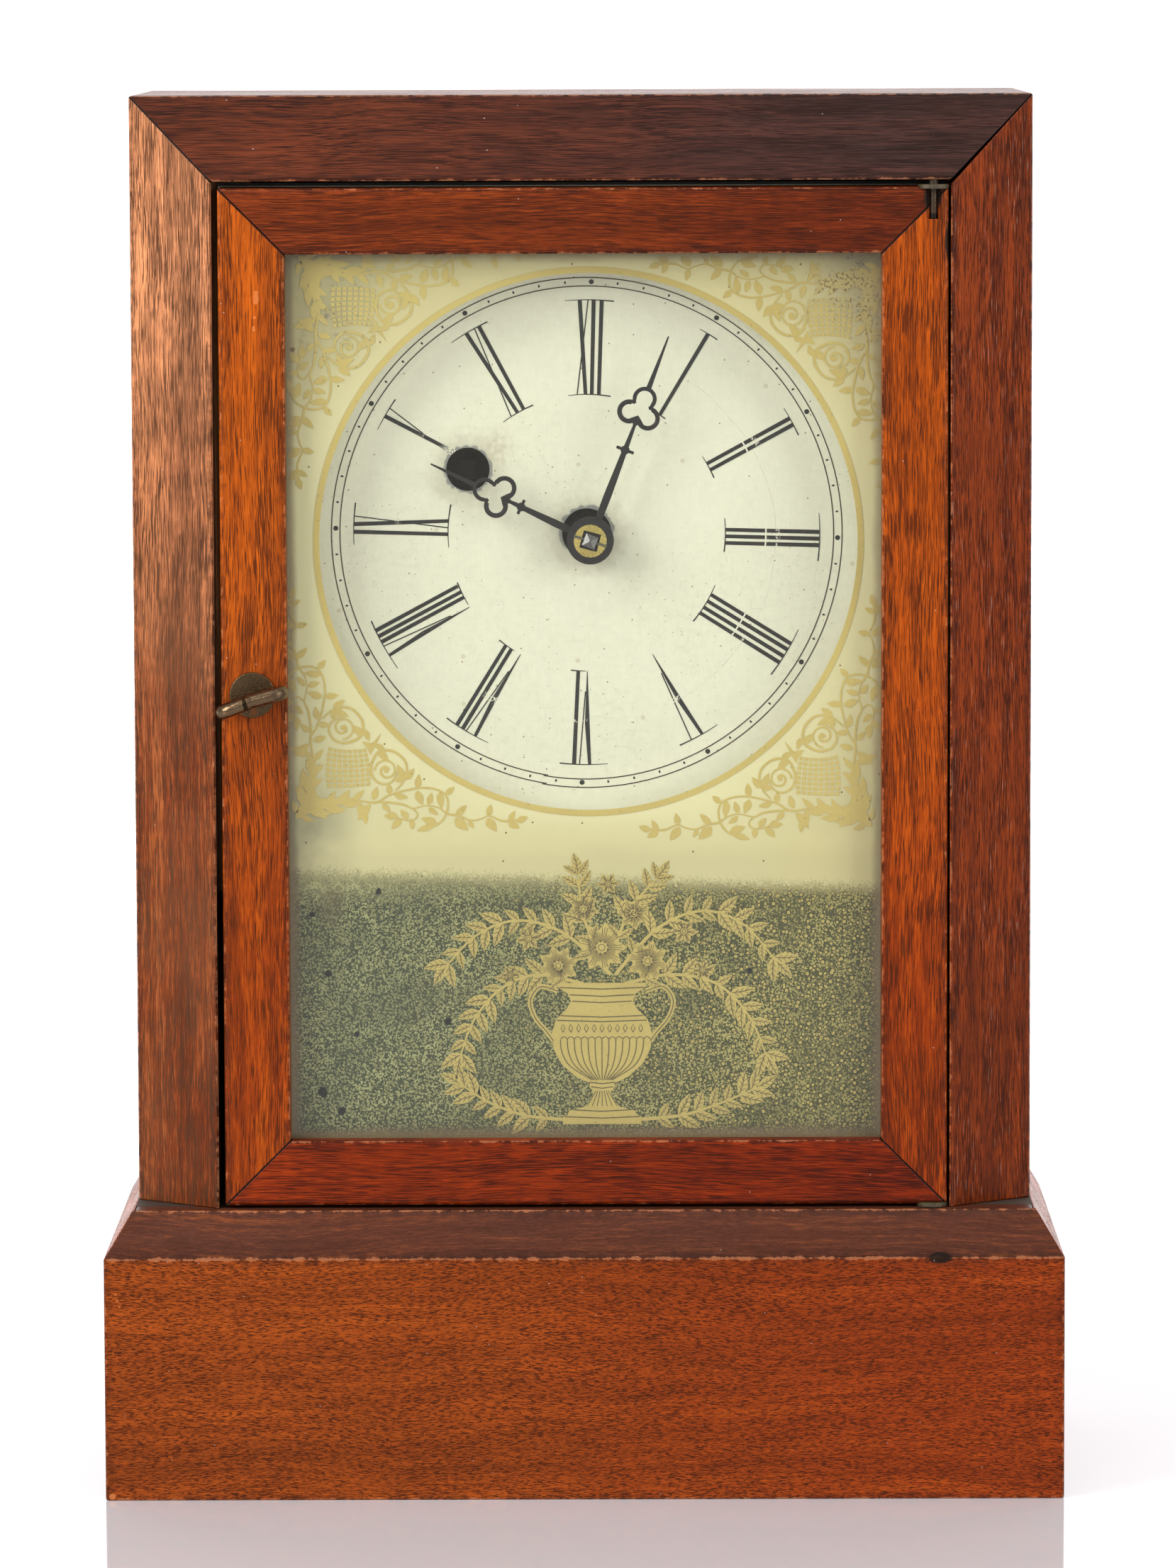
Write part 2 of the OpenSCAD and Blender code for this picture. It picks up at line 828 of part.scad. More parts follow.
// A hand pointing along its own y axis, with its centre at the origin
module hand_outline(len, bar_at, tre_at, blade_w, bar_w) {
    neck = tre_at - lobe_off / 2 - lobe_r + 1.5;
    tip_at = tre_at + lobe_off + lobe_r - lobe_w / 2;
    polygon([
        [-blade_w * 0.42, 0], [blade_w * 0.42, 0], [blade_w / 2, bar_at * 0.5],
        [blade_w * 0.34, bar_at], [0.28, neck], [-0.28, neck],
        [-blade_w * 0.34, bar_at], [-blade_w / 2, bar_at * 0.5]
    ]);
    translate([-bar_w / 2, bar_at - 0.33]) square([bar_w, 0.66]);
    polygon([
        [-blade_w * 0.5, bar_at - 0.6], [0, bar_at - 1], [blade_w * 0.5, bar_at - 0.6],
        [blade_w * 0.5, bar_at + 0.6], [0, bar_at + 1], [-blade_w * 0.5, bar_at + 0.6]
    ]);
    trefoil(tre_at);
    polygon([[-0.58, tip_at - 0.2], [0.58, tip_at - 0.2], [0.16, len], [-0.16, len]]);
}

module at_hands(angle) {
    translate(centre_at) rotate(-angle) children();
}

module hour_hand() {
    color("darkslategray") slab(hour_y, hand_t) difference() {
        at_hands(hour_at) {
            hand_outline(hour_l, hour_bar, hour_trefoil, 1.6, 3.4);
            circle(collar_r);
        }
        disc(centre_at, pipe_r);
    }
}

module minute_hand() {
    at = centre_at;
    color("darkslategray") difference() {
        union() {
            slab(minute_y, hand_t) at_hands(minute_at)
                hand_outline(minute_l, minute_bar, minute_trefoil, 1.7, 4);
            rod(at, collar_r, minute_y - rim_t, minute_y + hand_t);
        }
        rod(at, collar_in, minute_y - rim_t - 1, minute_y);
        slab(minute_y - 1, hand_t + 2) at_hands(minute_at) square(hand_square + 0.1, center = true);
    }
}

module hand_washer() {
    color("gold") slab(minute_y - hand_washer_t, hand_washer_t) difference() {
        disc(centre_at, collar_in - 0.03);
        at_hands(15) square(washer_square, center = true);
    }
}

taper_y = minute_y - rim_t - taper_d / 2 - 0.03;

module taper_pin_shape(r) {
    translate([centre_at[0], taper_y, centre_at[1]]) rotate([0, 18 - 90, 0])
        translate([0, 0, -taper_l / 2]) cylinder(r = r, h = taper_l);
}

module taper_pin() {
    color("silver") taper_pin_shape(taper_d / 2);
}

// Wheels

// Outline of a toothed wheel: n teeth, the first one centred on the angle at
function tooth(i, n, at, r, w) = [
    for (k = [0:2]) r[k] * [cos(at + 360 * i / n - w[k]), sin(at + 360 * i / n - w[k])],
    for (k = [2, 1, 0]) r[k] * [cos(at + 360 * i / n + w[k]), sin(at + 360 * i / n + w[k])]
];
function wheel_points(n, m, at, add, ded, thick) =
    let (
        p = n * m / 2,
        r = [p - ded * m, p, p + add * m],
        w = [for (k = [0:2]) thick[k] * m / r[k] * 90 / PI]
    )
    [for (i = [0:n - 1]) each tooth(i, n, at, r, w)];

// Root, pitch and tip thickness of the teeth, in modules
WHEEL_THICK = [1.7, 1.32, 0.45];
LEAF_THICK = [1.5, 1.25, 0.6];

// A wheel with its rim crossed out to spokes
module crossed_wheel(n, m, at, rim_r, hub_r, spokes, bore_r) {
    difference() {
        polygon(wheel_points(n, m, at, 1, 1.35, WHEEL_THICK));
        difference() {
            circle(rim_r);
            circle(hub_r);
            for (k = [0:spokes - 1]) rotate(k * 360 / spokes) translate([0, -1])
                square([rim_r + 1, 2.2]);
        }
        circle(bore_r);
    }
}

// A lantern pinion: two shrouds joined by wire trundles
module lantern(at, n, m, angle, y0, y1, bore_r) {
    pitch = n * m / 2;
    wire = 0.4 * m;
    shroud = pitch + wire + 0.5;
    difference() {
        union() {
            rod(at, shroud, y0, y0 + shroud_t);
            rod(at, shroud, y1 - shroud_t, y1);
            for (k = [0:n - 1]) rod(at + polar(pitch, angle + 360 * k / n), wire, y0, y1);
        }
        rod(at, bore_r, y0 - 1, y1 + 1);
    }
}

// Angle of a trundle that leaves a gap facing the wheel at the given place
function facing(at, wheel, n) = dir(wheel - at) + 180 / n;

module ratchet_outline() {
    step = 360 / ratchet_n;
    root = ratchet_r - ratchet_depth;
    polygon([for (k = [0:ratchet_n - 1]) each [
        polar(root, k * step + 0.2), polar((root + ratchet_r) / 2, (k + 0.48) * step),
        polar(ratchet_r, (k + 1) * step - 0.4), polar(ratchet_r, (k + 1) * step)
    ]]);
}

click_at = wind_at + polar(click_r, click_angle);

module great_wheel() {
    color("goldenrod") {
        difference() {
            slab(great_y, great_t) translate(wind_at)
                crossed_wheel(great_n, great_m, dir(centre_at - wind_at), 15.2, 15.1, 4,
                    wind_r + run_fit);
            rod(click_at, stud_r, great_y - 1, great_y + great_t + 1);
        }
        rod(click_at, stud_r, great_y - 2.1, great_y + great_t);
        rod(click_at, stud_r + 0.7, great_y - 2.5, great_y - 2);
    }
}

module ratchet_wheel() {
    color("slategray") slab(ratchet_y, ratchet_t) translate(wind_at) difference() {
        ratchet_outline();
        circle(wind_r);
    }
}

module click() {
    step = 360 / ratchet_n;
    inner = [
        polar(ratchet_r - ratchet_depth + 0.2, 0.4), polar(ratchet_r - ratchet_depth / 2 + 0.2, step / 2),
        polar(ratchet_r + 0.35, step)
    ];
    outer = [polar(ratchet_r + 1.6, step * 0.8), polar(ratchet_r + 0.7, 0.4)];
    pivot = click_at - wind_at;
    side = [1.9, 0];
    color("slategray") slab(great_y - 1.8, 1.5) translate(wind_at) difference() {
        union() {
            polygon(concat(inner, [pivot - side, pivot + side], outer));
            disc(pivot, 2.2);
        }
        disc(pivot, stud_r + run_fit);
    }
}

module click_spring() {
    pivot = click_at - wind_at;
    foot = polar(23.3, click_angle - 6);
    knee = pivot + [4.2, -0.1];
    tip = pivot + [2.9, -2.6];
    color("dimgray") {
        slab(great_y - 1.7, 1.4) translate(wind_at) {
            strip(foot, knee, 0.5);
            strip(knee, tip, 0.5);
            disc(knee, 0.25);
            disc(tip, 0.3);
            disc(foot, 1.4);
        }
        rod(wind_at + foot, 1.4, great_y - 1.7, great_y);
    }
}

module winding_arbor() {
    front = dial_y + wind_end;
    color("slategray") {
        rod(wind_at, wind_r, ratchet_y - 0.6, back_plate_y - 0.3);
        rod(wind_at, 2.6, plate_y - 1, ratchet_y);
        rod(wind_at, 1.8, back_plate_y - 1, plate_rear);
        intersection() {
            slab(front, plate_y - front) translate(wind_at) square(wind_square, center = true);
            rod(wind_at, 2.4, front - 1, plate_y + 1);
        }
    }
}

// Mainspring: a flat spiral whose outer end is looped round a pillar
spring_turns = 6;
spring_in = wind_r + 1.2;
spring_pillar = centre_at + [plate_left + pillar_in, plate_high - pillar_in] ;
spring_end = dir(spring_pillar - wind_at)
    + acos((spring_r + spring_t / 2) / norm(spring_pillar - wind_at));
function spiral(off) = [
    for (i = [0:spring_turns * 24])
        let (f = i / (spring_turns * 24))
        polar(spring_in + (spring_r - spring_in) * f + off, spring_end - 360 * spring_turns * (1 - f))
];
function backwards(list) = [for (i = [len(list) - 1:-1:0]) list[i]];

module mainspring() {
    loop_r = pillar_r + 0.1;
    color("steelblue") slab(spring_y, spring_h) {
        translate(wind_at) polygon(concat(spiral(spring_t / 2), backwards(spiral(-spring_t / 2))));
        difference() {
            union() {
                strip(wind_at + polar(spring_r, spring_end), spring_pillar
                    + polar(loop_r + spring_t / 2, spring_end), spring_t);
                disc(spring_pillar, loop_r + spring_t);
            }
            disc(spring_pillar, loop_r);
        }
    }
}

// Arbors

module arbor(at, r, pivot) {
    rod(at, pivot, plate_y, plate_rear);
    rod(at, r, inside_y + 0.2, back_plate_y - 0.2);
}

great_mesh = facing(centre_at, wind_at, centre_pinion_n);
third_mesh = facing(third_at, centre_at, third_pinion_n);
escape_mesh = facing(escape_at, third_at, escape_pinion_n);

// One of the two wedges whose crossing is the blunt pyramid on the arbor's square end
module tip_wedge(h) {
    half = hand_square / 2;
    rotate([90, 0, 0]) linear_extrude(hand_square, center = true)
        polygon([[-half, 0], [half, 0], [0.2, h], [-0.2, h]]);
}

module centre_arbor() {
    stop = minute_y + hand_t;
    reach = stop - taper_y + taper_d / 2 + 0.2;
    tip_h = 0.55;
    color("slategray") difference() {
        union() {
            rod(centre_at, centre_r, stop, back_plate_y - 0.2);
            rod(centre_at, 0.9, back_plate_y - 1, plate_rear);
            translate([centre_at[0], stop, centre_at[1]]) rotate([90, minute_at, 0]) {
                translate([0, 0, -0.1]) linear_extrude(reach + 0.1) square(hand_square, center = true);
                translate([0, 0, reach]) intersection() {
                    tip_wedge(tip_h);
                    rotate(90) tip_wedge(tip_h);
                }
            }
        }
        taper_pin_shape(taper_d / 2);
    }
}

module centre_pinion() {
    color("goldenrod")
        lantern(centre_at, centre_pinion_n, great_m, great_mesh, inside_y + 3.1, inside_y + 9.4, centre_r);
}

module centre_wheel() {
    color("goldenrod") slab(centre_wheel_y, wheel_t) translate(centre_at)
        crossed_wheel(centre_n, centre_m, dir(third_at - centre_at), 18.6, 5, 4, centre_r);
}

module third_arbor() {
    color("slategray") {
        arbor(third_at, third_r, pivot_r);
        lantern(third_at, third_pinion_n, centre_m, third_mesh,
            centre_wheel_y - 3, centre_wheel_y + 4, third_r);
    }
}

module third_wheel() {
    color("goldenrod") slab(third_wheel_y, wheel_t) translate(third_at)
        crossed_wheel(third_n, third_m, dir(escape_at - third_at), 14, 3.6, 4, third_r);
}

module escape_arbor() {
    color("slategray") {
        arbor(escape_at, escape_r, pivot_r);
        lantern(escape_at, escape_pinion_n, third_m, escape_mesh,
            third_wheel_y - 3.2, third_wheel_y + 4, escape_r);
    }
}

// Escape wheel: raked teeth with a straight leading face
escape_phase = 1.75;
module escape_wheel() {
    step = 360 / escape_n;
    root = escape_tip - 2.1;
    color("goldenrod") slab(escape_y, 0.8) translate(escape_at) difference() {
        polygon([for (k = [0:escape_n - 1])
            let (a = 90 + verge_span / 2 + escape_phase - k * step)
            each [
                polar(root, a + 4.4), polar(escape_tip - 0.5, a + 1.1), polar(escape_tip, a + 0.45),
                polar(escape_tip, a), polar(root, a + 0.5)
            ]
        ]);
        difference() {
            circle(root - 1.6);
            circle(3);
            for (k = [0:3]) rotate(k * 90) translate([0, -0.8]) square([root, 1.6]);
        }
        circle(escape_r);
    }
}

// Verge: a bent steel strip whose two ends stand in the path of the teeth
module verge() {
    half = verge_span / 2;
    inner = escape_tip - verge_engage;
    knee_r = escape_tip + 2.6;
    color("slategray") {
        difference() {
            slab(escape_y - 0.4, 1.8) {
                for (s = [-1, 1]) {
                    foot = escape_at + polar(inner, 90 + s * half);
                    knee = escape_at + polar(knee_r, 90 + s * half);
                    top = verge_at + [s * -1.6, 0.6];
                    strip(foot, knee, strip_verge_t);
                    disc(knee, strip_verge_t / 2);
                    strip(knee, top, strip_verge_t);
                    disc(top, strip_verge_t / 2);
                }
                disc(verge_at, 1.9);
            }
            rod(verge_at, verge_r, escape_y - 1, escape_y + 2);
        }
        rod(verge_at, verge_r, crutch_y - 0.4, back_plate_y - 0.2);
        rod(verge_at, pivot_r, back_plate_y - 1, plate_rear);
    }
}

// Crutch: a wire hanging from the verge arbor, forked round the pendulum rod
module crutch() {
    r = 0.45;
    fork = rod_r + r + 0.2;
    foot = verge_at - [0, crutch_l];
    color("goldenrod") {
        difference() {
            rod(verge_at, 1.5, crutch_y - 0.4, crutch_y + 0.8);
            rod(verge_at, verge_r, crutch_y - 1, crutch_y + 2);
        }
        translate([foot[0], crutch_y, foot[1]]) cylinder(r = r, h = crutch_l - 1.2);
        translate([foot[0] - fork, crutch_y, foot[1]]) rotate([0, 90, 0]) cylinder(r = r, h = 2 * fork);
        for (s = [-1, 1]) {
            rod([foot[0] + s * fork, foot[1]], r, pend_y - rod_r - 0.8, crutch_y);
            translate([foot[0] + s * fork, crutch_y, foot[1]]) sphere(r);
        }
    }
}

module suspension_post() {
    r = 2.5;
    at = bend_at + [0, r];
    color("goldenrod") difference() {
        union() {
            rod(at, r, pend_y - 2.6, plate_y);
            rod(at, 1.4, plate_y - 0.1, inside_y);
        }
        board(at[0] - 0.25, at[0] + 0.25, pend_y - 3, pend_y + 2.2, bend_at[1] - 1, bend_at[1] + 2);
    }
}

module pendulum_rod() {
    spring_foot = bend_at[1] - 6.4;
    low = bob_z - bob_r - 7;
    color("goldenrod") {
        board(pend_x - 0.12, pend_x + 0.12, pend_y - 1.9, pend_y + 1.9, spring_foot, bend_at[1] + 1.4);
        translate([pend_x, pend_y, low]) cylinder(r = rod_r, h = spring_foot - low + 0.6);
    }
}

module pendulum_bob() {
    half = bob_t / 2;
    swell = (bob_r ^ 2 + (half - 1) ^ 2) / (2 * (half - 1));
    color("goldenrod") difference() {
        translate([pend_x, pend_y, bob_z]) rotate([90, 0, 0]) intersection() {
            cylinder(r = bob_r, h = bob_t, center = true);
            translate([0, 0, half - swell]) sphere(swell);
            translate([0, 0, swell - half]) sphere(swell);
        }
        translate([pend_x, pend_y, bob_z - bob_r - 1]) cylinder(r = rod_r, h = 2 * bob_r + 2);
    }
}

module rating_nut() {
    color("goldenrod") translate([pend_x, pend_y, bob_z - bob_r - 3.1]) difference() {
        cylinder(r = 3.2, h = 2.4);
        translate([0, 0, -1]) cylinder(r = rod_r, h = 5);
        for (a = [0:30:330]) rotate(a) translate([3.4, 0, -1]) cylinder(r = 0.45, h = 5);
    }
}

// Motion work

module minute_pinion() {
    color("goldenrod") slab(minute_wheel_y - 0.8, 2.8) translate(centre_at) difference() {
        polygon(wheel_points(minute_pinion_n, minute_m,
            dir(motion_at - centre_at) + 180 / minute_pinion_n, 0.9, 1.25, LEAF_THICK));
        circle(centre_r);
    }
}

module minute_wheel() {
    bore = 1.2 + run_fit;
    hour_side = dir(centre_at - motion_at);
    color("goldenrod") {
        slab(minute_wheel_y, wheel_t) translate(motion_at)
            crossed_wheel(minute_wheel_n, minute_m, hour_side, 8.2, 4.6, 3, bore);
        slab(minute_wheel_y - 4.4, 4.4) translate(motion_at) difference() {
            polygon(wheel_points(minute_leaf_n, hour_m, hour_side + 180 / minute_leaf_n,
                0.9, 1.25, LEAF_THICK));
            circle(bore);
        }
    }
}

module hour_wheel() {
    color("goldenrod") difference() {
        union() {
            slab(hour_wheel_y, wheel_t) translate(centre_at) difference() {
                crossed_wheel(hour_n, hour_m, dir(motion_at - centre_at), 8.6, 5, 4, 1);
            }
            rod(centre_at, pipe_r, hour_y - 0.5, hour_wheel_y + wheel_t + 1.2);
        }
        rod(centre_at, centre_r + run_fit, hour_y - 2, hour_wheel_y + 5);
    }
}

// Plates and what holds them

PILLARS = [
    for (x = [plate_left + pillar_in, plate_right - pillar_in])
        for (z = [plate_low + pillar_in, plate_high - pillar_in]) centre_at + [x, z]
];
EARS = [
    for (x = [plate_left - ear_out + 1, plate_right + ear_out - 1])
        for (z = [plate_low + 17, plate_high - 23]) centre_at + [x, z]
];

module rounded(x0, x1, z0, z1, r) {
    difference() {
        translate([x0, z0]) square([x1 - x0, z1 - z0]);
        for (cx = [[x0, 0], [x1, 1]]) {
            for (cz = [[z0, 0], [z1, 1]]) {
                difference() {
                    translate([cx[0] - r * (cx[1] == 0 ? 0 : 1), cz[0] - r * (cz[1] == 0 ? 0 : 1)])
                        square(r);
                    translate([cx[0] + r * (cx[1] == 0 ? 1 : -1), cz[0] + r * (cz[1] == 0 ? 1 : -1)])
                        circle(r);
                }
            }
        }
    }
}

module plate_outline() {
    difference() {
        translate(centre_at) difference() {
            rounded(plate_left, plate_right, plate_low, plate_high, 5);
            rounded(-40, -13, -33, -9, 4);
            rounded(7, 33, -33, -9, 4);
            rounded(-39, -12, 32, 53, 4);
            rounded(20, 33, 26, 50, 4);
        }
        for (p = PILLARS) disc(p, pillar_end_r);
    }
}

module front_plate() {
    color("gold") {
        slab(plate_y, plate_t) difference() {
            plate_outline();
            disc(centre_at, centre_r + run_fit);
            disc(wind_at, 2.6 + run_fit);
            disc(third_at, pivot_r + run_fit);
            disc(escape_at, pivot_r + run_fit);
            disc(verge_at, verge_r + run_fit);
            disc(bend_at + [0, 2.5], 1.4);
        }
        rod(motion_at, 2.2, minute_wheel_y + wheel_t + 0.2, plate_y + 0.1);
        rod(motion_at, 1.2, minute_wheel_y - 5, plate_y);
        rod(motion_at, 1.8, minute_wheel_y - 5.2, minute_wheel_y - 4.6);
    }
}

module back_plate() {
    color("gold") slab(back_plate_y, plate_t) difference() {
        union() {
            plate_outline();
            for (p = EARS) {
                disc(p, ear_r);
                strip(p, [centre_at[0] + (p[0] < centre_at[0] ? plate_left : plate_right), p[1]],
                    2 * ear_r);
            }
        }
        disc(centre_at, 0.9 + run_fit);
        disc(wind_at, 1.8 + run_fit);
        disc(third_at, pivot_r + run_fit);
        disc(escape_at, pivot_r + run_fit);
        disc(verge_at, pivot_r + run_fit);
        for (p = EARS) disc(p, screw_r);
    }
}

module pillars() {
    color("gold") for (p = PILLARS) {
        rod(p, pillar_r, inside_y, back_plate_y);
        rod(p, pillar_end_r, plate_y - nut_t - 0.8, plate_rear);
    }
}

module pillar_nuts() {
    color("gold") for (p = PILLARS) slab(plate_y - nut_t, nut_t) difference() {
        translate(p) circle(4, $fn = 6);
        disc(p, pillar_end_r);
    }
}

module movement_screws_shape() {
    for (p = EARS) {
        rod(p, screw_r, back_plate_y, back_plate_y + screw_l);
        rod(p, 2.9, back_plate_y - 1.4, back_plate_y);
    }
}

module movement_screws() {
    color("dimgray") difference() {
        movement_screws_shape();
        for (p = EARS) board(p[0] - 4, p[0] + 4, back_plate_y - 2, back_plate_y - 0.8,
            p[1] - 0.35, p[1] + 0.35);
    }
}

module movement_cleats() {
    color("burlywood") difference() {
        for (p = [EARS[0], EARS[2]]) {
            board(p[0] - 7, p[0] + 7, plate_rear, back_y, centre_at[1] + plate_low + 2,
                centre_at[1] + plate_high - 6);
        }
        movement_screws_shape();
    }
}

side_board_left();
side_board_right();
top_board();
floor_board();
back_board();
back_nails();
frame_top_rail();
frame_stile_left();
frame_stile_right();
plinth_front();
plinth_left();
plinth_right();
dial_strips();
movement_cleats();
dial_plate();
dial_nails();
hinge_pins();
door_top_rail();
door_bottom_rail();
door_stile_left();
door_stile_right();
door_glass();
glazing_putty();
hinge_washers();
latch_rose();
rose_pin();
latch_spindle();
latch_ring();
latch_tongue();
front_plate();
back_plate();
pillars();
pillar_nuts();
movement_screws();
suspension_post();
mainspring();
great_wheel();
click_spring();
click();
winding_arbor();
ratchet_wheel();
centre_arbor();
centre_pinion();
centre_wheel();
minute_pinion();
third_arbor();
third_wheel();
escape_arbor();
escape_wheel();
minute_wheel();
hour_wheel();
verge();
crutch();
pendulum_rod();
pendulum_bob();
rating_nut();
hour_hand();
minute_hand();
hand_washer();
taper_pin();
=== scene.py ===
"""Dresses the cottage clock over its fixed frame: woods, metals, glass, print and studio."""

import itertools
import json
import math

import bpy
from bpy.props import FloatProperty, FloatVectorProperty, PointerProperty
from mathutils import Matrix, Vector

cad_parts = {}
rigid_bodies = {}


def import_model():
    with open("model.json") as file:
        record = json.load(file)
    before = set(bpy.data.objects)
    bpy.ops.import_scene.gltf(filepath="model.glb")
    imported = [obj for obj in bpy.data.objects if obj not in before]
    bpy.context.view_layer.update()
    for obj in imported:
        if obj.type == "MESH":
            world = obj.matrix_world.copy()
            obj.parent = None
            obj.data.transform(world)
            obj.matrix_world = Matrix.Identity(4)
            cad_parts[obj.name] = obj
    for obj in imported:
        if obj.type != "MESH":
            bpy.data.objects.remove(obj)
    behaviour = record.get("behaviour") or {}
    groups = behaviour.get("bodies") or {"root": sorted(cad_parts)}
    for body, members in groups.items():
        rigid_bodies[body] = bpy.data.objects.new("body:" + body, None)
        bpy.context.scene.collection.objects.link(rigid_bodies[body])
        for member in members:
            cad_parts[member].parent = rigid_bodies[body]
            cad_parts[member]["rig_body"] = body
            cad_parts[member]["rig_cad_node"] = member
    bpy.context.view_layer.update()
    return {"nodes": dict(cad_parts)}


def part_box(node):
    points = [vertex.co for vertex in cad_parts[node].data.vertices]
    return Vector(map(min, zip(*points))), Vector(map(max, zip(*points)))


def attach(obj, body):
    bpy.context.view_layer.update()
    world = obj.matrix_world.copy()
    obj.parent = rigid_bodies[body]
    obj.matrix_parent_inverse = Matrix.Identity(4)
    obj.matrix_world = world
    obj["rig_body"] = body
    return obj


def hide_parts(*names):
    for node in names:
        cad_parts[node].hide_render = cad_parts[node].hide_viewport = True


bl_info = {
    "name": "Cottage Clock",
    "version": (1, 0, 0),
    "blender": (4, 5, 0),
    "location": "View3D > Sidebar > Clock",
    "description": "Dresses the cottage clock in its woods, metals, glass and dial print",
    "category": "Object",
}

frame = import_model()
MM = 0.001


def plane_of(node, axis, high):
    """One side of a CAD node's box, in millimetres."""
    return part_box(node)[1 if high else 0]["XYZ".index(axis)] / MM


def srgb(red, green, blue):
    """A colour given as it looks on a screen, from 0 to 255, as linear light."""
    return tuple(
        c / 12.92 if c <= 0.04045 else ((c + 0.055) / 1.055) ** 2.4
        for c in (red / 255, green / 255, blue / 255)
    )


def tone(name, description, default):
    return FloatVectorProperty(
        name=name, description=description, default=default, subtype="COLOR", size=3, min=0, max=1
    )


def length(name, description, millimetres):
    return FloatProperty(
        name=name, description=description, default=millimetres * MM, unit="LENGTH",
        subtype="DISTANCE", min=0, precision=5,
    )


# Planes that the print and the films lie on, in millimetres
DIAL_FACE = plane_of("dial_plate", "Y", False)
GLASS_BACK = plane_of("door_glass", "Y", True)
SIGHT_LEFT = plane_of("door_stile_left", "X", True)
SIGHT_RIGHT = plane_of("door_stile_right", "X", False)
SIGHT_FOOT = plane_of("door_bottom_rail", "Z", True)
SIGHT_HEAD = plane_of("door_top_rail", "Z", False)

# Centres of the printed dial, the hands, the gold ring and the winding hole, in x and z
DIAL_X, DIAL_Z = 1.0, 209.5
HANDS_X, HANDS_Z = 1.8, 208.3
RING_X, RING_Z = 1.4, 208.2
WINDING_X, WINDING_Z = -24.89, 223.51
WINDING_RADIUS = 4.75
# The dial is painted black above this, a painted shade where its head shows in the gap over the
# door
DIAL_SHADE_Z = 285.15

# The print's place before the dial's face, and distances behind the glass of what lies on its
# back, in millimetres
PRINT_DEPTH = -0.09
LINE_DEPTH = 0.012
GOLD_DEPTH = 0.1
GROUND_DEPTH = 0.19
FILM_DEPTH = 0.23


class ClockSizes(bpy.types.PropertyGroup):
    """Sizes of the print, the ornament and the worn edges"""

    ease: length("Worn arris", "Width that the wood's edges are rounded off by", 0.4)
    hand_ease: length("Hand edge", "Width that the hands' edges are rounded off by", 0.05)
    dial_x: length("Dial centre across", "Printed centre of the dial, across", DIAL_X)
    dial_z: length("Dial centre up", "Printed centre of the dial above the table", DIAL_Z)
    dial_turn: FloatProperty(
        name="Dial turn", description="Clockwise turn of the printed dial",
        default=math.radians(1.25), subtype="ANGLE",
    )
    numeral_inner: length("Numeral foot", "Radius of the numerals' inner ends", 30.3)
    numeral_outer: length("Numeral head", "Radius of the numerals' outer ends", 50.9)
    numeral_stroke: length("Numeral stroke", "Width of a thick stroke", 0.78)
    hairline: length("Hairline", "Width of a thin stroke or serif", 0.24)
    track_inner: length("Inner track line", "Radius of the minute track's inner line", 53.9)
    track_outer: length("Outer track line", "Radius of the minute track's outer line", 55.75)
    hour_dot: length("Hour dot", "Radius of the dots at each five minutes", 0.55)
    minute_dot: length("Minute dot", "Radius of the dots between them", 0.26)
    ring_radius: length("Gold ring", "Outer radius of the gold ring on the glass", 59.8)
    ring_width: length("Gold ring width", "Width of the gold ring on the glass", 1.35)


class ClockColours(bpy.types.PropertyGroup):
    """Colours of the woods, paints and metals"""

    # The three frame members are one mahogany, coloured for how the light falls on them: the left
    # stile lighter as a painted sheen, the right stile and the top rail darker as painted shade
    stile_left: tone("Left frame stile", "Wood of the left stile, lightened by a painted sheen", srgb(197, 128, 85))
    top_rail: tone("Top frame rail", "Purple-brown wood of the top rail", srgb(88, 36, 12))
    stile_right: tone("Right frame stile", "Red-brown wood of the right stile", srgb(124, 47, 3))
    door_left: tone("Left door stile", "Orange wood of the left door stile", srgb(163, 73, 8))
    door_right: tone("Right door stile", "Orange wood of the right door stile", srgb(160, 68, 5))
    door_top: tone("Door top rail", "Wood of the door's top rail", srgb(124, 50, 13))
    door_foot: tone("Door bottom rail", "Wood of the door's bottom rail", srgb(131, 42, 3))
    base: tone("Base", "Veneer of the base", srgb(148, 66, 16))
    # The bevel faces up: besides its dust, its colour is greyer as a painted reflection of the
    # light above
    chamfer: tone("Base bevel", "Dusty wood of the bevel on the base, greyed by a painted reflection", srgb(86, 47, 33))
    sides: tone("Sides", "Veneer of the case sides", srgb(118, 62, 36))
    pine: tone("Carcase wood", "Bare softwood inside and behind", srgb(156, 112, 70))
    dial: tone("Dial paint", "Cream paint of the dial", srgb(232, 231, 208))
    ink: tone("Dial ink", "Black of the numerals", srgb(22, 22, 20))
    gold: tone("Gold", "Tan gold of the ornament on the glass", srgb(197, 177, 104))
    ground: tone("Tablet ground", "Grey-green ground of the painted tablet", srgb(70, 75, 54))
    varnish: tone("Varnish", "Yellowed varnish on the glass", srgb(226, 219, 170))
    brass: tone("Brass", "Yellow brass of the movement", srgb(190, 156, 88))
    bronze: tone("Bronze", "Brown bronze of the latch", srgb(118, 96, 72))
    iron: tone("Iron", "Blackened iron of the hands", srgb(38, 36, 36))


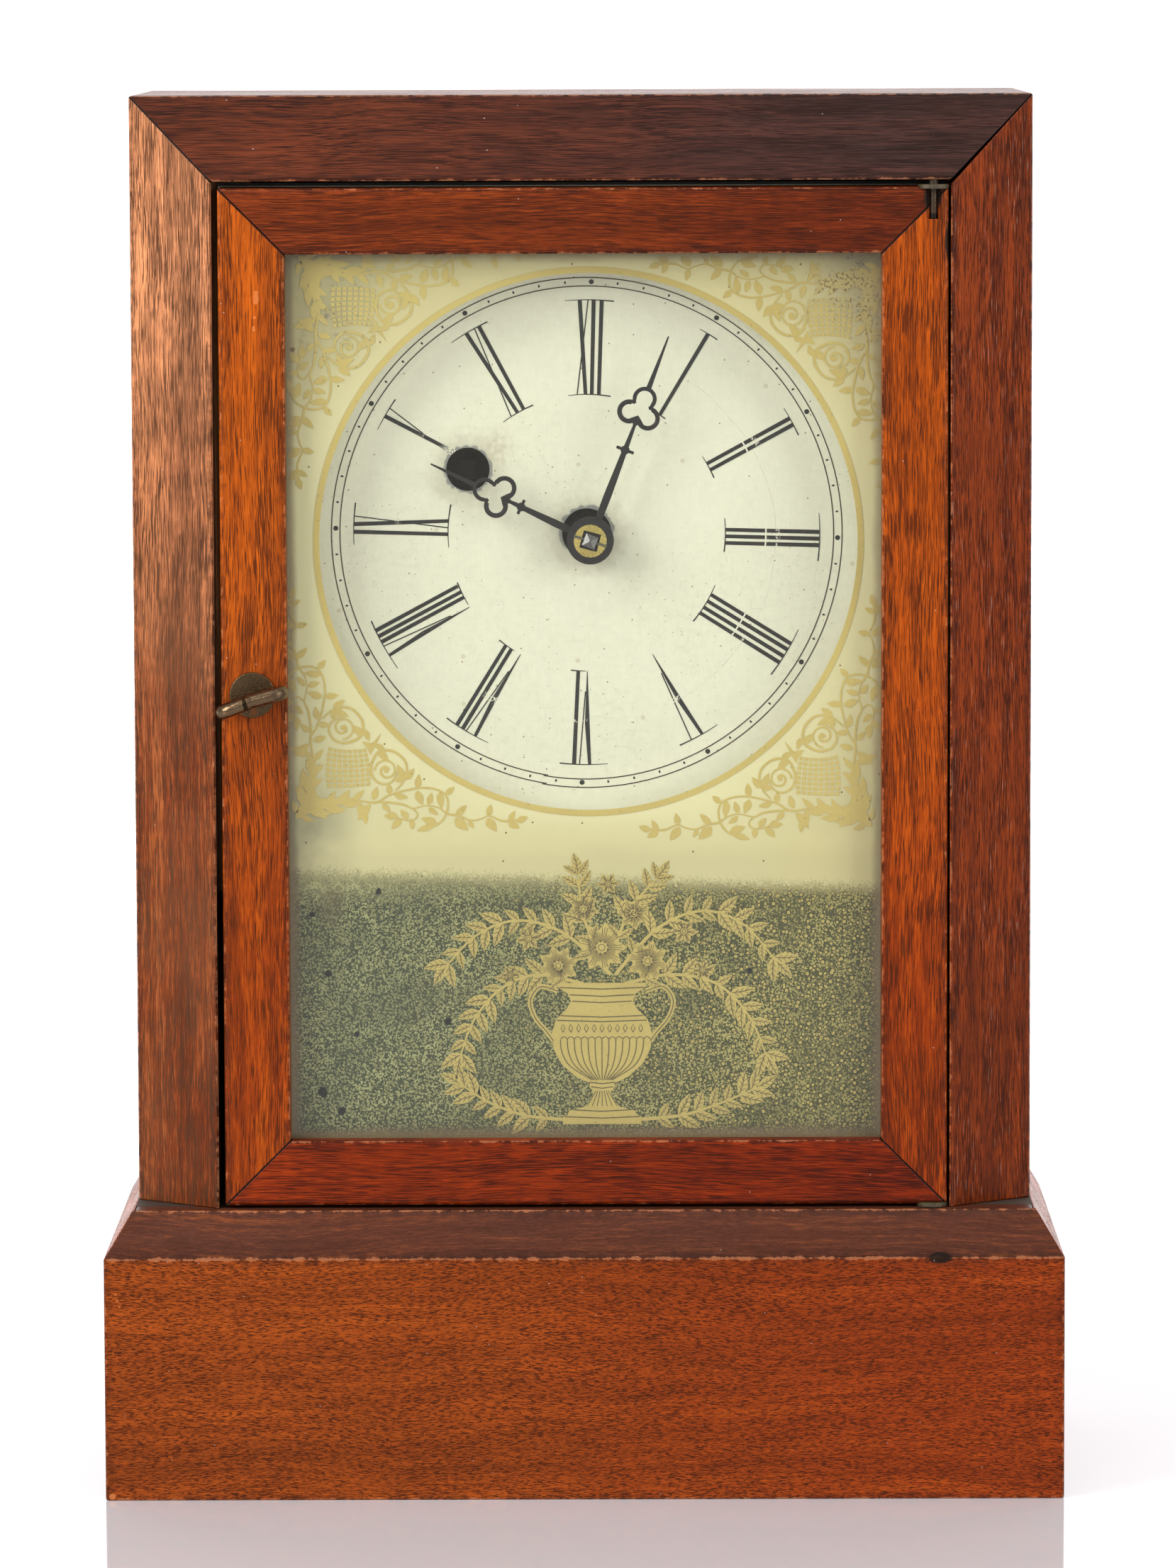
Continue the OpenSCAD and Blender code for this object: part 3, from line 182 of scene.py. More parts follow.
class Value:
    """A number that a material works out; the usual operators add its Math nodes."""

    def __init__(self, finish, socket):
        self.finish = finish
        self.socket = socket

    def __add__(self, other):
        return self.finish.math("ADD", self, other)

    __radd__ = __add__

    def __sub__(self, other):
        return self.finish.math("SUBTRACT", self, other)

    def __rsub__(self, other):
        return self.finish.math("SUBTRACT", other, self)

    def __mul__(self, other):
        return self.finish.math("MULTIPLY", self, other)

    __rmul__ = __mul__

    def __truediv__(self, other):
        return self.finish.math("DIVIDE", self, other)

    def __pow__(self, other):
        return self.finish.math("POWER", self, other)

    def __abs__(self):
        return self.finish.math("ABSOLUTE", self)

    def least(self, other):
        return self.finish.math("MINIMUM", self, other)

    def most(self, other):
        return self.finish.math("MAXIMUM", self, other)

    def rise(self, low, high):
        """From 0 at low to 1 at high, softly; it falls where low is above high."""
        if low > high:
            return 1 - self.rise(high, low)
        sockets = {"Value": self, "From Min": low, "From Max": high}
        return self.finish.value("MapRange", {"interpolation_type": "SMOOTHSTEP"}, sockets)


class Colour:
    """A colour or a vector that a material works out."""

    def __init__(self, socket):
        self.socket = socket


class Finish:
    """A material under construction."""

    def __init__(self, name):
        self.material = bpy.data.materials.new(name)
        self.material.use_nodes = True
        self.tree = self.material.node_tree
        self.tree.nodes.clear()
        self.out = self.node("OutputMaterial")
        place = self.node("TexCoord").outputs["Object"]
        scaled = self.node(
            "VectorMath", {"operation": "SCALE"}, {"Vector": Colour(place), "Scale": 1 / MM}
        )
        self.point = Colour(scaled.outputs[0])
        parts = self.node("SeparateXYZ", None, {0: self.point})
        self.x, self.y, self.z = (Value(self, s) for s in parts.outputs)
        self.flat = self.vector(self.x, self.z, 0)
        self.skin = None

    def node(self, kind, settings=None, sockets=None):
        """Adds one node: its settings first, then the values or links of its sockets."""
        node = self.tree.nodes.new("ShaderNode" + kind)
        for name, value in (settings or {}).items():
            setattr(node, name, value)
        for name, value in (sockets or {}).items():
            if isinstance(value, (Value, Colour)):
                self.tree.links.new(value.socket, node.inputs[name])
            elif node.inputs[name].type == "RGBA" and len(value) == 3:
                node.inputs[name].default_value = (*value, 1)
            else:
                node.inputs[name].default_value = value
        return node

    def value(self, kind, settings, sockets, output=0):
        return Value(self, self.node(kind, settings, sockets).outputs[output])

    def math(self, operation, *values):
        return self.value("Math", {"operation": operation}, dict(enumerate(values)))

    def vector(self, x, y, z):
        return Colour(self.node("CombineXYZ", None, {0: x, 1: y, 2: z}).outputs[0])

    def noise(self, place, scale=1.0, detail=2.0, roughness=0.5, bend=0.0):
        """Soft noise round 0.5 at a place in millimetres; scale is its count in each."""
        sockets = {
            "Vector": place, "Scale": scale, "Detail": detail,
            "Roughness": roughness, "Distortion": bend,
        }
        return self.value("TexNoise", None, sockets)

    def cells(self, place, scale, output="Distance", feature="F1"):
        """Distance to the nearest of scattered points, or its colour; a flat has x and z alone."""
        settings = {"feature": feature, "voronoi_dimensions": "2D" if place is self.flat else "3D"}
        node = self.node("TexVoronoi", settings, {"Vector": place, "Scale": scale})
        if output == "Color":
            return self.value("SeparateColor", None, {0: Colour(node.outputs[output])})
        return Value(self, node.outputs[output])

    def mix(self, factor, first, second, blend="MIX"):
        settings = {"data_type": "RGBA", "blend_type": blend, "clamp_factor": True}
        sockets = {0: factor, 6: first, 7: second}
        return Colour(self.node("Mix", settings, sockets).outputs[2])

    def scaled(self, colour, factor):
        """A colour made lighter or darker."""
        node = self.node("VectorMath", {"operation": "SCALE"}, {0: colour, "Scale": factor})
        return Colour(node.outputs[0])

    def coat(self, share, colour):
        """Lays one more colour over the skin, by its share."""
        self.skin = self.mix(share, self.skin, colour)

    def tint(self, factor):
        """Makes the skin lighter or darker."""
        self.skin = self.scaled(self.skin, factor)

    def ramp(self, factor, stops):
        """A colour between stops, each a place from 0 to 1 and a colour."""
        node = self.node("ValToRGB")
        elements = node.color_ramp.elements
        while len(elements) < len(stops):
            elements.new(0.5)
        for element, (place, colour) in zip(elements, stops):
            element.position = place
            element.color = (*colour, 1)
        self.tree.links.new(factor.socket, node.inputs[0])
        return Colour(node.outputs[0])

    def specks(self, scale, size, share, place=None):
        """Scattered dots: count in each millimetre, radius as a share of a cell, share kept."""
        place = place or self.point
        near = self.cells(place, scale).rise(size, size * 0.6)
        kept = self.cells(place, scale, "Color").rise(1 - share, 1 - share + 0.02)
        return near * kept

    def blots(self, *places):
        """Distance to the edge of the nearest blot, each given by its x, z and radius."""
        near = None
        for x, z, radius in places:
            sockets = {0: self.flat, 1: (x, z, 0)}
            edge = self.value("VectorMath", {"operation": "DISTANCE"}, sockets, "Value") - radius
            near = edge if near is None else near.least(edge)
        return near

    def away(self, x, z, wide=1.0, high=1.0):
        """Distance in x and z from a place, with either direction stretched."""
        across, up = (self.x - x) * wide, (self.z - z) * high
        return self.math("SQRT", across ** 2 + up ** 2)

    def surface(self, height=None, depth=0.1, **sockets):
        """Ends the material with a principled shader in the skin; depth is in millimetres."""
        named = {name.replace("_", " "): value for name, value in sockets.items()}
        named["Base Color"] = self.skin
        shader = self.node("BsdfPrincipled", None, named)
        if height is not None:
            sockets = {"Height": height, "Strength": 1.0, "Distance": depth * MM}
            relief = self.node("Bump", None, sockets)
            self.tree.links.new(relief.outputs[0], shader.inputs["Normal"])
        self.finish(shader)
        return shader

    def finish(self, shader):
        self.tree.links.new(shader.outputs[0], self.out.inputs[0])


def shade(colour, factor):
    return tuple(min(1.0, c * factor) for c in colour)


def toward(colour, other, share):
    return tuple(a + (b - a) * share for a, b in zip(colour, other))


# Materials

WORN = srgb(196, 132, 92)
# Pale chips and scratches by their place and radius
PLINTH_MARKS = (
    (-103.1, 0.9, 0.7), (-102.0, 45.6, 0.1), (-101.6, 44.2, 0.14), (-101.1, 42.8, 0.14),
    (-100.6, 41.2, 0.12), (-100.1, 39.8, 0.1),
)
DOOR_MARKS = (
    (-70.1, 262.8, 0.45), (-70.1, 262.1, 0.5), (-70.0, 261.4, 0.5), (-70.1, 260.8, 0.4),
    (-70.6, 255.4, 0.3), (-70.6, 254.9, 0.35), (-70.4, 257.5, 0.25),
)
# Dark hollows, stain with the painted shade inside them, by their place, half width and half height
DOOR_HOLLOW_STAIN_AND_SHADE = ((75.9, 283.2, 2.1, 3.4), (79.7, 273.2, 1.3, 4.6))
PLINTH_HOLLOW_STAIN_AND_SHADE = ((77.4, 53.2, 2.8, 1.3),)
RING_LAP = (-72.6, 173.7, 0.55, 2.4)
# The hinge pin's lower end, painted dark as the shade of the hollow it enters, by its place, half
# width and half height
HINGE_PIN_END_SHADE = (75.9, 278.5, 2.4, 1.1)
# Near-black for the dark joints, and for grime with painted shade near the edges
GRIME_AND_SHADE = srgb(30, 18, 14)
SQUARE_TO_SLOPE = 0.7071


def arris_distance(f, edges):
    """Distance in millimetres to the nearest of the named edges, each two planes that meet."""
    near = None
    for first, a, second, b in edges:
        apart = abs(getattr(f, first) - a).most(abs(getattr(f, second) - b))
        near = apart if near is None else near.least(apart)
    return near


def drawn(f, ways, long, wide, **settings):
    """Noise drawn out along the first of three ways; long and wide are its counts in each mm."""
    run, across, deep = ways
    return f.noise(f.vector(run * long, across * wide, deep * wide), **settings)


def wood(name, colour, along, edges=(), mitres=(), pore=(1.4, 0.3), pores=0.6, wave=5.0,
         spread=0.34, polish=0.1, glints=0.0, seed=0.0, dust=0.0, fade=None, ripple=0.0, cap=None,
         marks=(), hollow_stain_and_shade=(), clump=0.35, gilt=0.3):
    """Polished mahogany: bands, streaks and pores along one axis, worn edges with grime and painted
    shade near them, and painted light where asked.
    """
    f = Finish(name)
    run, across, deep = {"x": (f.x, f.z, f.y), "y": (f.y, f.z, f.x), "z": (f.z, f.x, f.y)}[along]
    f.skin = colour
    # A second colour taking over along one axis; on the frame's left stile this is a painted sheen,
    # lightest at the top, and on the top rail a greyer painted reflection towards the right
    if fade:
        axis, start, stop, other = fade
        cloudy = f.noise(f.point, 0.02, detail=3.0)
        f.skin = f.mix((getattr(f, axis) + (cloudy - 0.5) * 90).rise(start, stop), colour, other)
    # A second colour above a height; on the base's bevel this is dust with a greyer painted
    # reflection of the light above
    if cap:
        height, other = cap
        above = f.z.rise(height - 0.2, height + 0.2)
        f.coat(above, other)
    run = run + seed
    sway = drawn(f, (run, across, deep), 0.018, 0.03, detail=1.0)
    ways = (run, across + (sway - 0.5) * wave, deep)
    band = drawn(f, ways, 0.006, 0.11, detail=2.0)
    streak = drawn(f, ways, 0.03, 0.85, detail=4.0, roughness=0.65)
    fibre = drawn(f, ways, 0.25, 3.4, detail=3.0, roughness=0.6)
    figure = (band * 0.3 + streak * 0.36 + fibre * 0.34).rise(0.5 - spread / 3, 0.5 + spread / 3)
    f.tint(figure * 0.95 + 0.5)
    golden = tuple(min(c * k, 1) for c, k in zip(colour, (1.45, 1.75, 1.3)))
    f.coat(figure.rise(0.52, 0.95) * gilt, golden)
    if ripple:
        curl = drawn(f, ways, 0.3, 0.07, detail=2.0)
        f.tint(1 + (curl - 0.5) * ripple)
    long, wide = pore
    grain = drawn(f, ways, 1 / long, 1 / wide, detail=1.0)
    thick = drawn(f, ways, 0.05, 0.3, detail=1.0)
    hollow = (grain + thick * clump).rise(0.527 + clump / 2, 0.59 + clump / 2)
    if cap:
        hollow = hollow * (1 - above * 0.6)
    f.coat(hollow * pores, shade(colour, 0.12))
    cloud = f.noise(f.point, 0.035, detail=3.0).rise(0.36, 0.7)
    f.coat(cloud * clump * 0.6, shade(colour, 0.45))
    bare = f.noise(f.point, 0.45, detail=3.0, roughness=0.65)
    if edges:
        near = arris_distance(f, edges)
        rubbed = (near + (bare - 0.5) * 1.9).rise(0.3, 0.1)
        # Grime near the listed edges, with painted shade standing in for occlusion where parts meet
        grime_and_shade = near.rise(2.6, 0.3) * bare.rise(0.38, 0.62)
        f.coat(grime_and_shade * 0.4, GRIME_AND_SHADE)
        f.coat(rubbed * 0.6, toward(WORN, colour, 0.35))
    for slope, height in mitres:
        joint = abs(f.z + f.x * slope - height) * SQUARE_TO_SLOPE
        f.coat((joint + (bare - 0.5) * 0.25).rise(0.34, 0.1) * 0.92, GRIME_AND_SHADE)
    # Painted glints: pale flecks of highlight along the pores
    if glints:
        lit = grain.rise(0.33, 0.27) * thick.rise(0.4, 0.62)
        f.coat(lit * glints, srgb(226, 206, 190))
    if marks:
        near = f.blots(*marks) + (bare - 0.5) * 0.5
        f.coat(near.rise(0.15, -0.1) * 0.5, srgb(226, 136, 76))
    # Dark hollows: stain with the painted shade inside them
    for x, z, wide, high in hollow_stain_and_shade:
        near = ((f.x - x) / wide) ** 2 + ((f.z - z) / high) ** 2 + (bare - 0.5) * 0.9
        f.coat(near.rise(1.25, 0.55) * 0.95, srgb(26, 18, 12))
    if dust:
        lint = f.specks(0.3, 0.05, 0.35)
        f.coat(lint * dust, srgb(214, 208, 204))
    rough = 0.36 + hollow * 0.3 + (1 - cloud) * 0.08 + (fibre - 0.5) * 0.3
    f.surface(
        height=figure * 0.25 + fibre * 0.5 - hollow * 0.9, depth=0.045,
        Roughness=rough, Specular_IOR_Level=0.1, Coat_Weight=polish, Coat_Roughness=0.2,
    )
    return f.material


def bare_wood(name, colour, along, seed=0.0):
    """Sawn softwood: rings, saw marks and old brown dirt."""
    f = Finish(name)
    run, across, deep = {"x": (f.x, f.z, f.y), "y": (f.y, f.x, f.z), "z": (f.z, f.x, f.y)}[along]
    ways = (run + seed, across, deep)
    sway = drawn(f, ways, 0.008, 0.02, detail=2.0)
    rings = f.math("SINE", (across + (sway - 0.5) * 22 + deep * 0.3) * 0.75) * 0.5 + 0.5
    fibre = drawn(f, ways, 0.05, 2.6, detail=3.0, roughness=0.6)
    f.skin = f.ramp(fibre * 0.84 + rings * 0.16, [
        (0.15, shade(colour, 0.6)), (0.5, colour), (0.9, shade(colour, 1.18)),
    ])
    dirt = drawn(f, ways, 0.008, 0.03, detail=5.0, roughness=0.65).rise(0.36, 0.7)
    f.coat(dirt * 0.4, srgb(74, 52, 34))
    marks = drawn(f, ways, 0.9, 0.05, detail=1.0)
    f.surface(height=fibre * 0.6 + marks * 0.4, depth=0.12, Roughness=0.66 + dirt * 0.16)
    return f.material


def dial_paint(colours):
    """Cream paint on zinc, crazed, specked and worn to metal at the holes; grey painted shade
    towards the edges and painted light near the ring.
    """
    f = Finish("dial_paint")
    wide = f.noise(f.point, 0.03, detail=4.0, roughness=0.6)
    fine = f.noise(f.point, 0.6, detail=3.0)
    f.skin = f.mix(wide.rise(0.35, 0.65) * 0.5, colours.dial, srgb(226, 225, 200))
    weave = f.noise(f.vector(f.x * 0.5, f.y, f.z * 3.2), detail=2.0)
    weft = f.noise(f.vector(f.x * 3.2, f.y, f.z * 0.5), detail=2.0)
    f.tint(0.9 + (weave + weft) * 0.1 + (fine - 0.5) * 0.1)
    over = f.away(HANDS_X, HANDS_Z)
    # Painted shade towards the dial's edges, stronger on the left
    rim = (over + (wide - 0.5) * 14).rise(52, 64) * (0.55 + f.x.rise(20, -50) * 0.45)
    f.coat(rim * 0.12, srgb(198, 194, 182))
    # Painted light: lighter near the ring and at the upper left, lifting the shade cast by the film
    # and the frame
    upper_left = f.x.rise(-2, -40) * f.z.rise(212, 245)
    f.tint(1 + over.rise(46, 58) * 0.15 + upper_left * 0.07)
    lines = f.cells(f.flat, 0.42, feature="DISTANCE_TO_EDGE")
    crazed = (lines + fine * 0.06).rise(0.05, 0.03) * wide.rise(0.5, 0.62)
    f.coat(crazed * 0.22, srgb(150, 140, 112))
    f.coat(f.specks(0.16, 0.032, 0.3, f.flat) * 0.85, srgb(96, 80, 56))
    f.coat(f.specks(0.55, 0.08, 0.14, f.flat) * wide.rise(0.4, 0.6) * 0.8, srgb(136, 122, 90))
    f.coat(f.specks(0.045, 0.028, 0.5, f.flat) * 0.35, srgb(176, 154, 112))
    wear = f.blots((WINDING_X, WINDING_Z, WINDING_RADIUS), (DIAL_X, DIAL_Z, 5.4))
    soil = (wear + (wide - 0.5) * 9 + (fine - 0.5) * 3).rise(5.5, 0.4)
    f.coat(soil * 0.35, srgb(152, 140, 108))
    brown = f.away(-18.6, 227.5, high=0.8) + (wide - 0.5) * 8
    f.coat(brown.rise(6.5, 2.0) * fine.rise(0.35, 0.7) * 0.4, srgb(150, 118, 74))
    metal = (wear + (fine - 0.5) * 2.2).rise(0.75, 0.35)
    f.coat(metal * 0.85, srgb(150, 152, 148))
    scratch = abs(over - 40.4 + (f.noise(f.point, 0.08) - 0.5) * 1.2)
    side = (f.x - 14).rise(0, 14) * fine.rise(0.4, 0.55)
    f.coat(scratch.rise(0.16, 0.06) * side * 0.4, srgb(186, 186, 176))
    # Painted shade: black on the dial's head, in the gap over the door
    f.coat(f.z.rise(DIAL_SHADE_Z, DIAL_SHADE_Z + 0.35) * 0.95, srgb(12, 10, 9))
    f.surface(
        height=fine * 0.5 + wide * 0.5 - crazed * 0.3 - metal * 0.4, depth=0.05,
        Roughness=0.42 + (fine - 0.5) * 0.2, Metallic=metal * 0.6, Coat_Weight=0.12,
        Coat_Roughness=0.3,
    )
    return f.material


def dial_ink(name, ink, paint):
    """Ink on the dial: pinholed, chipped, scratched and cut off by the winding hole."""
    f = Finish(name)
    over = f.away(DIAL_X, DIAL_Z)
    fine = f.noise(f.point, 1.9, detail=3.0, roughness=0.7)
    patch = f.noise(f.point, 0.16, detail=2.0)
    chips = abs(over - 41.6 + (patch - 0.5) * 5).rise(0.9, 0.2) * fine.rise(0.50, 0.56)
    chips = chips * f.noise(f.point, 0.045).rise(0.47, 0.52)
    slope = (f.z - DIAL_Z) * 0.012
    scratch = abs(over - 39.15 - slope).rise(0.2, 0.13) * (f.x - 24).rise(0, 3)
    scratch = scratch * fine.rise(0.3, 0.4)
    hole = f.blots((WINDING_X, WINDING_Z, WINDING_RADIUS))
    flaked = hole.rise(3.8, 0.4) * fine.rise(0.42, 0.5)
    holes = f.noise(f.point, 4.5, detail=1.0).rise(0.70, 0.76)
    lost = chips.most(scratch).most(flaked).most(holes * 0.6)
    f.skin = f.mix(lost, ink, shade(paint, 1.02))
    f.surface(
        height=fine, depth=0.02, Roughness=0.4 + fine * 0.1,
        Alpha=hole.rise(0.0, 0.06),
    )
    return f.material


def gold_leaf(name, colour):
    """Old gold behind glass: grained, greyed and stained towards the upper corners."""
    f = Finish(name)
    wide = f.noise(f.point, 0.07, detail=4.0, roughness=0.6)
    fine = f.noise(f.point, 1.6, detail=3.0)
    f.skin = f.scaled(colour, 0.72 + wide * 0.3 + fine * 0.26)
    head = f.z.rise(225, 262)
    f.coat(head * 0.8, f.mix(f.x.rise(-20, 20), srgb(196, 178, 106), srgb(181, 161, 92)))
    grey = head * wide.rise(0.5, 0.62) * abs(f.x - 1).rise(34, 54)
    f.coat(grey * 0.35, srgb(158, 150, 116))
    stain = (wide * 0.5 + fine * 0.7).rise(0.70, 0.74) * head * abs(f.x - 1).rise(40, 54)
    f.coat(stain * 0.8, srgb(104, 84, 50))
    f.coat(f.specks(0.35, 0.06, 0.25, f.flat) * 0.8, srgb(126, 108, 70))
    f.surface(
        height=fine, depth=0.01, Roughness=0.5 + fine * 0.12,
        Specular_IOR_Level=0.3,
    )
    return f.material


def engraving(colour):
    """Fine dark lines scratched through the gold."""
    f = Finish("engraved_line")
    fine = f.noise(f.point, 1.2, detail=3.0)
    f.skin = f.mix(fine.rise(0.3, 0.7), shade(colour, 0.8), shade(colour, 1.5))
    f.surface(Roughness=0.5 + fine * 0.1)
    return f.material


def varnish_film(colours, ring_radius):
    """Yellowed varnish on the back of the glass, thick at its edges and clear inside the ring;
    along the edges it also carries a painted shade of the door's frame.
    """
    f = Finish("varnish_film")
    over = f.away(RING_X, RING_Z)
    wide = f.noise(f.point, 0.035, detail=4.0, roughness=0.6)
    fine = f.noise(f.point, 0.7, detail=3.0)
    outside = over.rise(ring_radius - 1.0, ring_radius - 0.4)
    side = (f.x - SIGHT_LEFT).least(SIGHT_RIGHT - f.x).least((SIGHT_HEAD - f.z) * 1.4)
    # Painted shade of the door's frame along the sight's edges, stronger on the left
    rim = (side + (wide - 0.5) * 3).rise(2.2, 0.0) * (0.35 + f.x.rise(10, -50) * 0.5)
    foot = f.z.rise(152, 138)
    corner = abs(f.x - 1).rise(40, 60)
    tarnish = f.z.rise(238, 268) * corner * (0.25 + wide.rise(0.36, 0.6) * 0.75)
    f.skin = f.mix(foot, colours.varnish, srgb(203, 195, 148))
    f.coat(f.x.rise(24, 66) * 0.4, srgb(192, 176, 120))
    f.coat(f.z.rise(225, 262) * 0.75, srgb(204, 192, 138))
    f.coat(f.x.rise(-40, -64) * 0.2, srgb(190, 184, 140))
    f.coat(rim * 0.8, srgb(118, 104, 68))
    dull = f.mix(f.x.rise(-20, 20), srgb(126, 121, 96), srgb(150, 140, 106))
    f.coat(tarnish * 0.85, dull)
    murk = f.noise(f.point, 0.5, detail=4.0, roughness=0.7).rise(0.55, 0.68) * tarnish
    f.coat(murk * 0.8, srgb(92, 90, 78))
    low = f.x.rise(-44, -62) * f.z.rise(164, 146) * wide.rise(0.3, 0.6)
    f.coat(low * 0.7, srgb(112, 114, 96))
    spots = f.specks(0.12, 0.03, 0.35, f.flat)
    blots = f.blots((-62.6, 250.3, 0.6), (47.5, 268.4, 0.3), (-33.5, 147.2, 0.25)) + (fine - 0.5)
    spots = spots.most(blots.rise(0.1, -0.1))
    f.coat(spots, srgb(112, 84, 46))
    cover = outside * (0.8 + (wide - 0.5) * 0.25 + foot * 0.28 + rim * 0.2 + tarnish * 0.2)
    cover = cover.most(spots * outside * 0.85).most(rim * 0.3).most(fine * 0.012)
    f.surface(Roughness=0.5 + fine * 0.1, Alpha=cover, Specular_IOR_Level=0.1)
    return f.material


def tablet_paint(colours):
    """Grey-green paint worked all over with cream worms, dots and rings, soft at its top."""
    f = Finish("tablet_paint")
    wide = f.noise(f.point, 0.03, detail=4.0, roughness=0.6)
    fine = f.noise(f.point, 0.9, detail=4.0, roughness=0.6)
    warm = (f.x + (wide - 0.5) * 60).rise(-50, 60)
    base = f.mix(warm, colours.ground, srgb(78, 77, 46))
    base = f.mix(wide.rise(0.42, 0.62) * 0.5, base, srgb(60, 68, 50))
    worms = f.noise(f.point, 2.4, detail=1.5, roughness=0.45, bend=0.35)
    big = f.noise(f.point, 0.9, detail=2.0)
    lines = (worms + (big - 0.5) * 0.3 + (f.z - 128).rise(0, 8) * 0.06).rise(0.49, 0.57)
    veil = f.noise(f.point, 0.08, detail=3.0).rise(0.32, 0.62)
    cream = f.mix(warm, srgb(168, 168, 118), srgb(180, 168, 102))
    near_top = (f.z + (wide - 0.5) * 6).rise(129, 137)
    f.skin = f.mix(lines * (0.5 + veil * 0.4), base, cream)
    f.coat(near_top * 0.6, srgb(184, 178, 130))
    for scale, size, share in ((0.42, 0.18, 0.6), (0.75, 0.25, 0.45)):
        near = f.cells(f.flat, scale) + (fine - 0.5) * 0.06
        kept = f.cells(f.flat, scale, "Color").rise(1 - share, 1 - share + 0.02)
        kept = kept * (0.5 + warm * 0.45)
        f.coat(near.rise(size * 1.7, size * 1.2) * kept * 0.8, srgb(52, 54, 36))
        bright = f.mix(warm, cream, srgb(204, 184, 108))
        f.coat(near.rise(size, size * 0.7) * kept * 0.9, bright)
        f.coat(near.rise(size * 0.4, size * 0.2) * kept * 0.5, srgb(120, 96, 54))
    murk = f.away(-55, 129, wide=1.6) + (wide - 0.5) * 8
    f.coat(murk.rise(8, 3) * 0.5, srgb(102, 92, 66))
    dark = f.specks(0.075, 0.045, 0.3, f.flat) * f.noise(f.point, 1.3, detail=3.0).rise(0.36, 0.48)
    left = f.x.rise(10, -40)
    f.coat(dark * (0.2 + left * 0.5), srgb(22, 26, 26))
    blots = f.blots(
        (-44.6, 132.0, 0.5), (-55.7, 113.9, 0.55), (-49.5, 100.6, 0.45), (-53.0, 83.5, 0.7),
        (-57.1, 87.7, 0.9), (-29.7, 103.4, 0.6), (-22.6, 87.6, 0.5), (-59.2, 126.9, 0.4),
        (36.5, 114.2, 0.4),
    )
    f.coat((blots + (fine - 0.5) * 1.2).rise(0.35, 0.05) * 0.95, srgb(20, 24, 26))
    slant = f.vector(f.x * 0.9 - f.z * 0.4, f.y, (f.z + f.x) * 0.16)
    slash = f.noise(slant, 1.0, detail=2.0).rise(0.72, 0.76) * f.x.rise(-40, -50)
    f.coat(slash * 0.8, srgb(30, 32, 34))
    # Painted shade of the rebate along the sight's foot and sides
    foot = (f.z + (wide - 0.5) * 4).rise(SIGHT_FOOT + 3.5, SIGHT_FOOT)
    side = (f.x - SIGHT_LEFT).least(SIGHT_RIGHT - f.x).rise(3.2, 0.3)
    f.coat(foot.most(side) * 0.75, srgb(96, 80, 58))
    edge = 133.4 - (f.x - 1) * 0.03 + (worms - 0.5) * 5 + (big - 0.5) * 2
    cover = (f.z - edge).rise(2.6, -2.2)
    f.surface(Roughness=0.5 + fine * 0.1, Alpha=cover, Specular_IOR_Level=0.1)
    return f.material


def window_glass():
    """Old clear glass: Schlick's gloss over a clear body, with a little dirt at its edges."""
    f = Finish("window_glass")
    facing = f.value("LayerWeight", None, {"Blend": 0.5}, 1)
    gloss = 0.04 + facing ** 5 * 0.9
    ripple = f.noise(f.point, 0.02, detail=2.0)
    side = (f.x - SIGHT_LEFT).least(SIGHT_RIGHT - f.x)
    side = side.least(f.z - SIGHT_FOOT).least(SIGHT_HEAD - f.z)
    smear = f.noise(f.point, 0.05, detail=4.0, roughness=0.65)
    dirt = 0.004 + smear.rise(0.5, 0.8) * 0.02 + (side + (smear - 0.5) * 3).rise(2.4, 0.0) * 0.3

    def first_of(kind, sockets):
        return Colour(f.node(kind, None, sockets).outputs[0])

    clear = first_of("BsdfTransparent", {"Color": (0.985, 0.99, 0.975)})
    relief = first_of("Bump", {"Height": ripple, "Strength": 0.3, "Distance": 0.02 * MM})
    bright = first_of("BsdfGlossy", {"Roughness": 0.03, "Normal": relief})
    dull = first_of("BsdfDiffuse", {"Color": srgb(150, 134, 104)})
    body = first_of("MixShader", {0: dirt, 1: clear, 2: dull})
    f.finish(f.node("MixShader", None, {0: gloss, 1: body, 2: bright}))
    return f.material


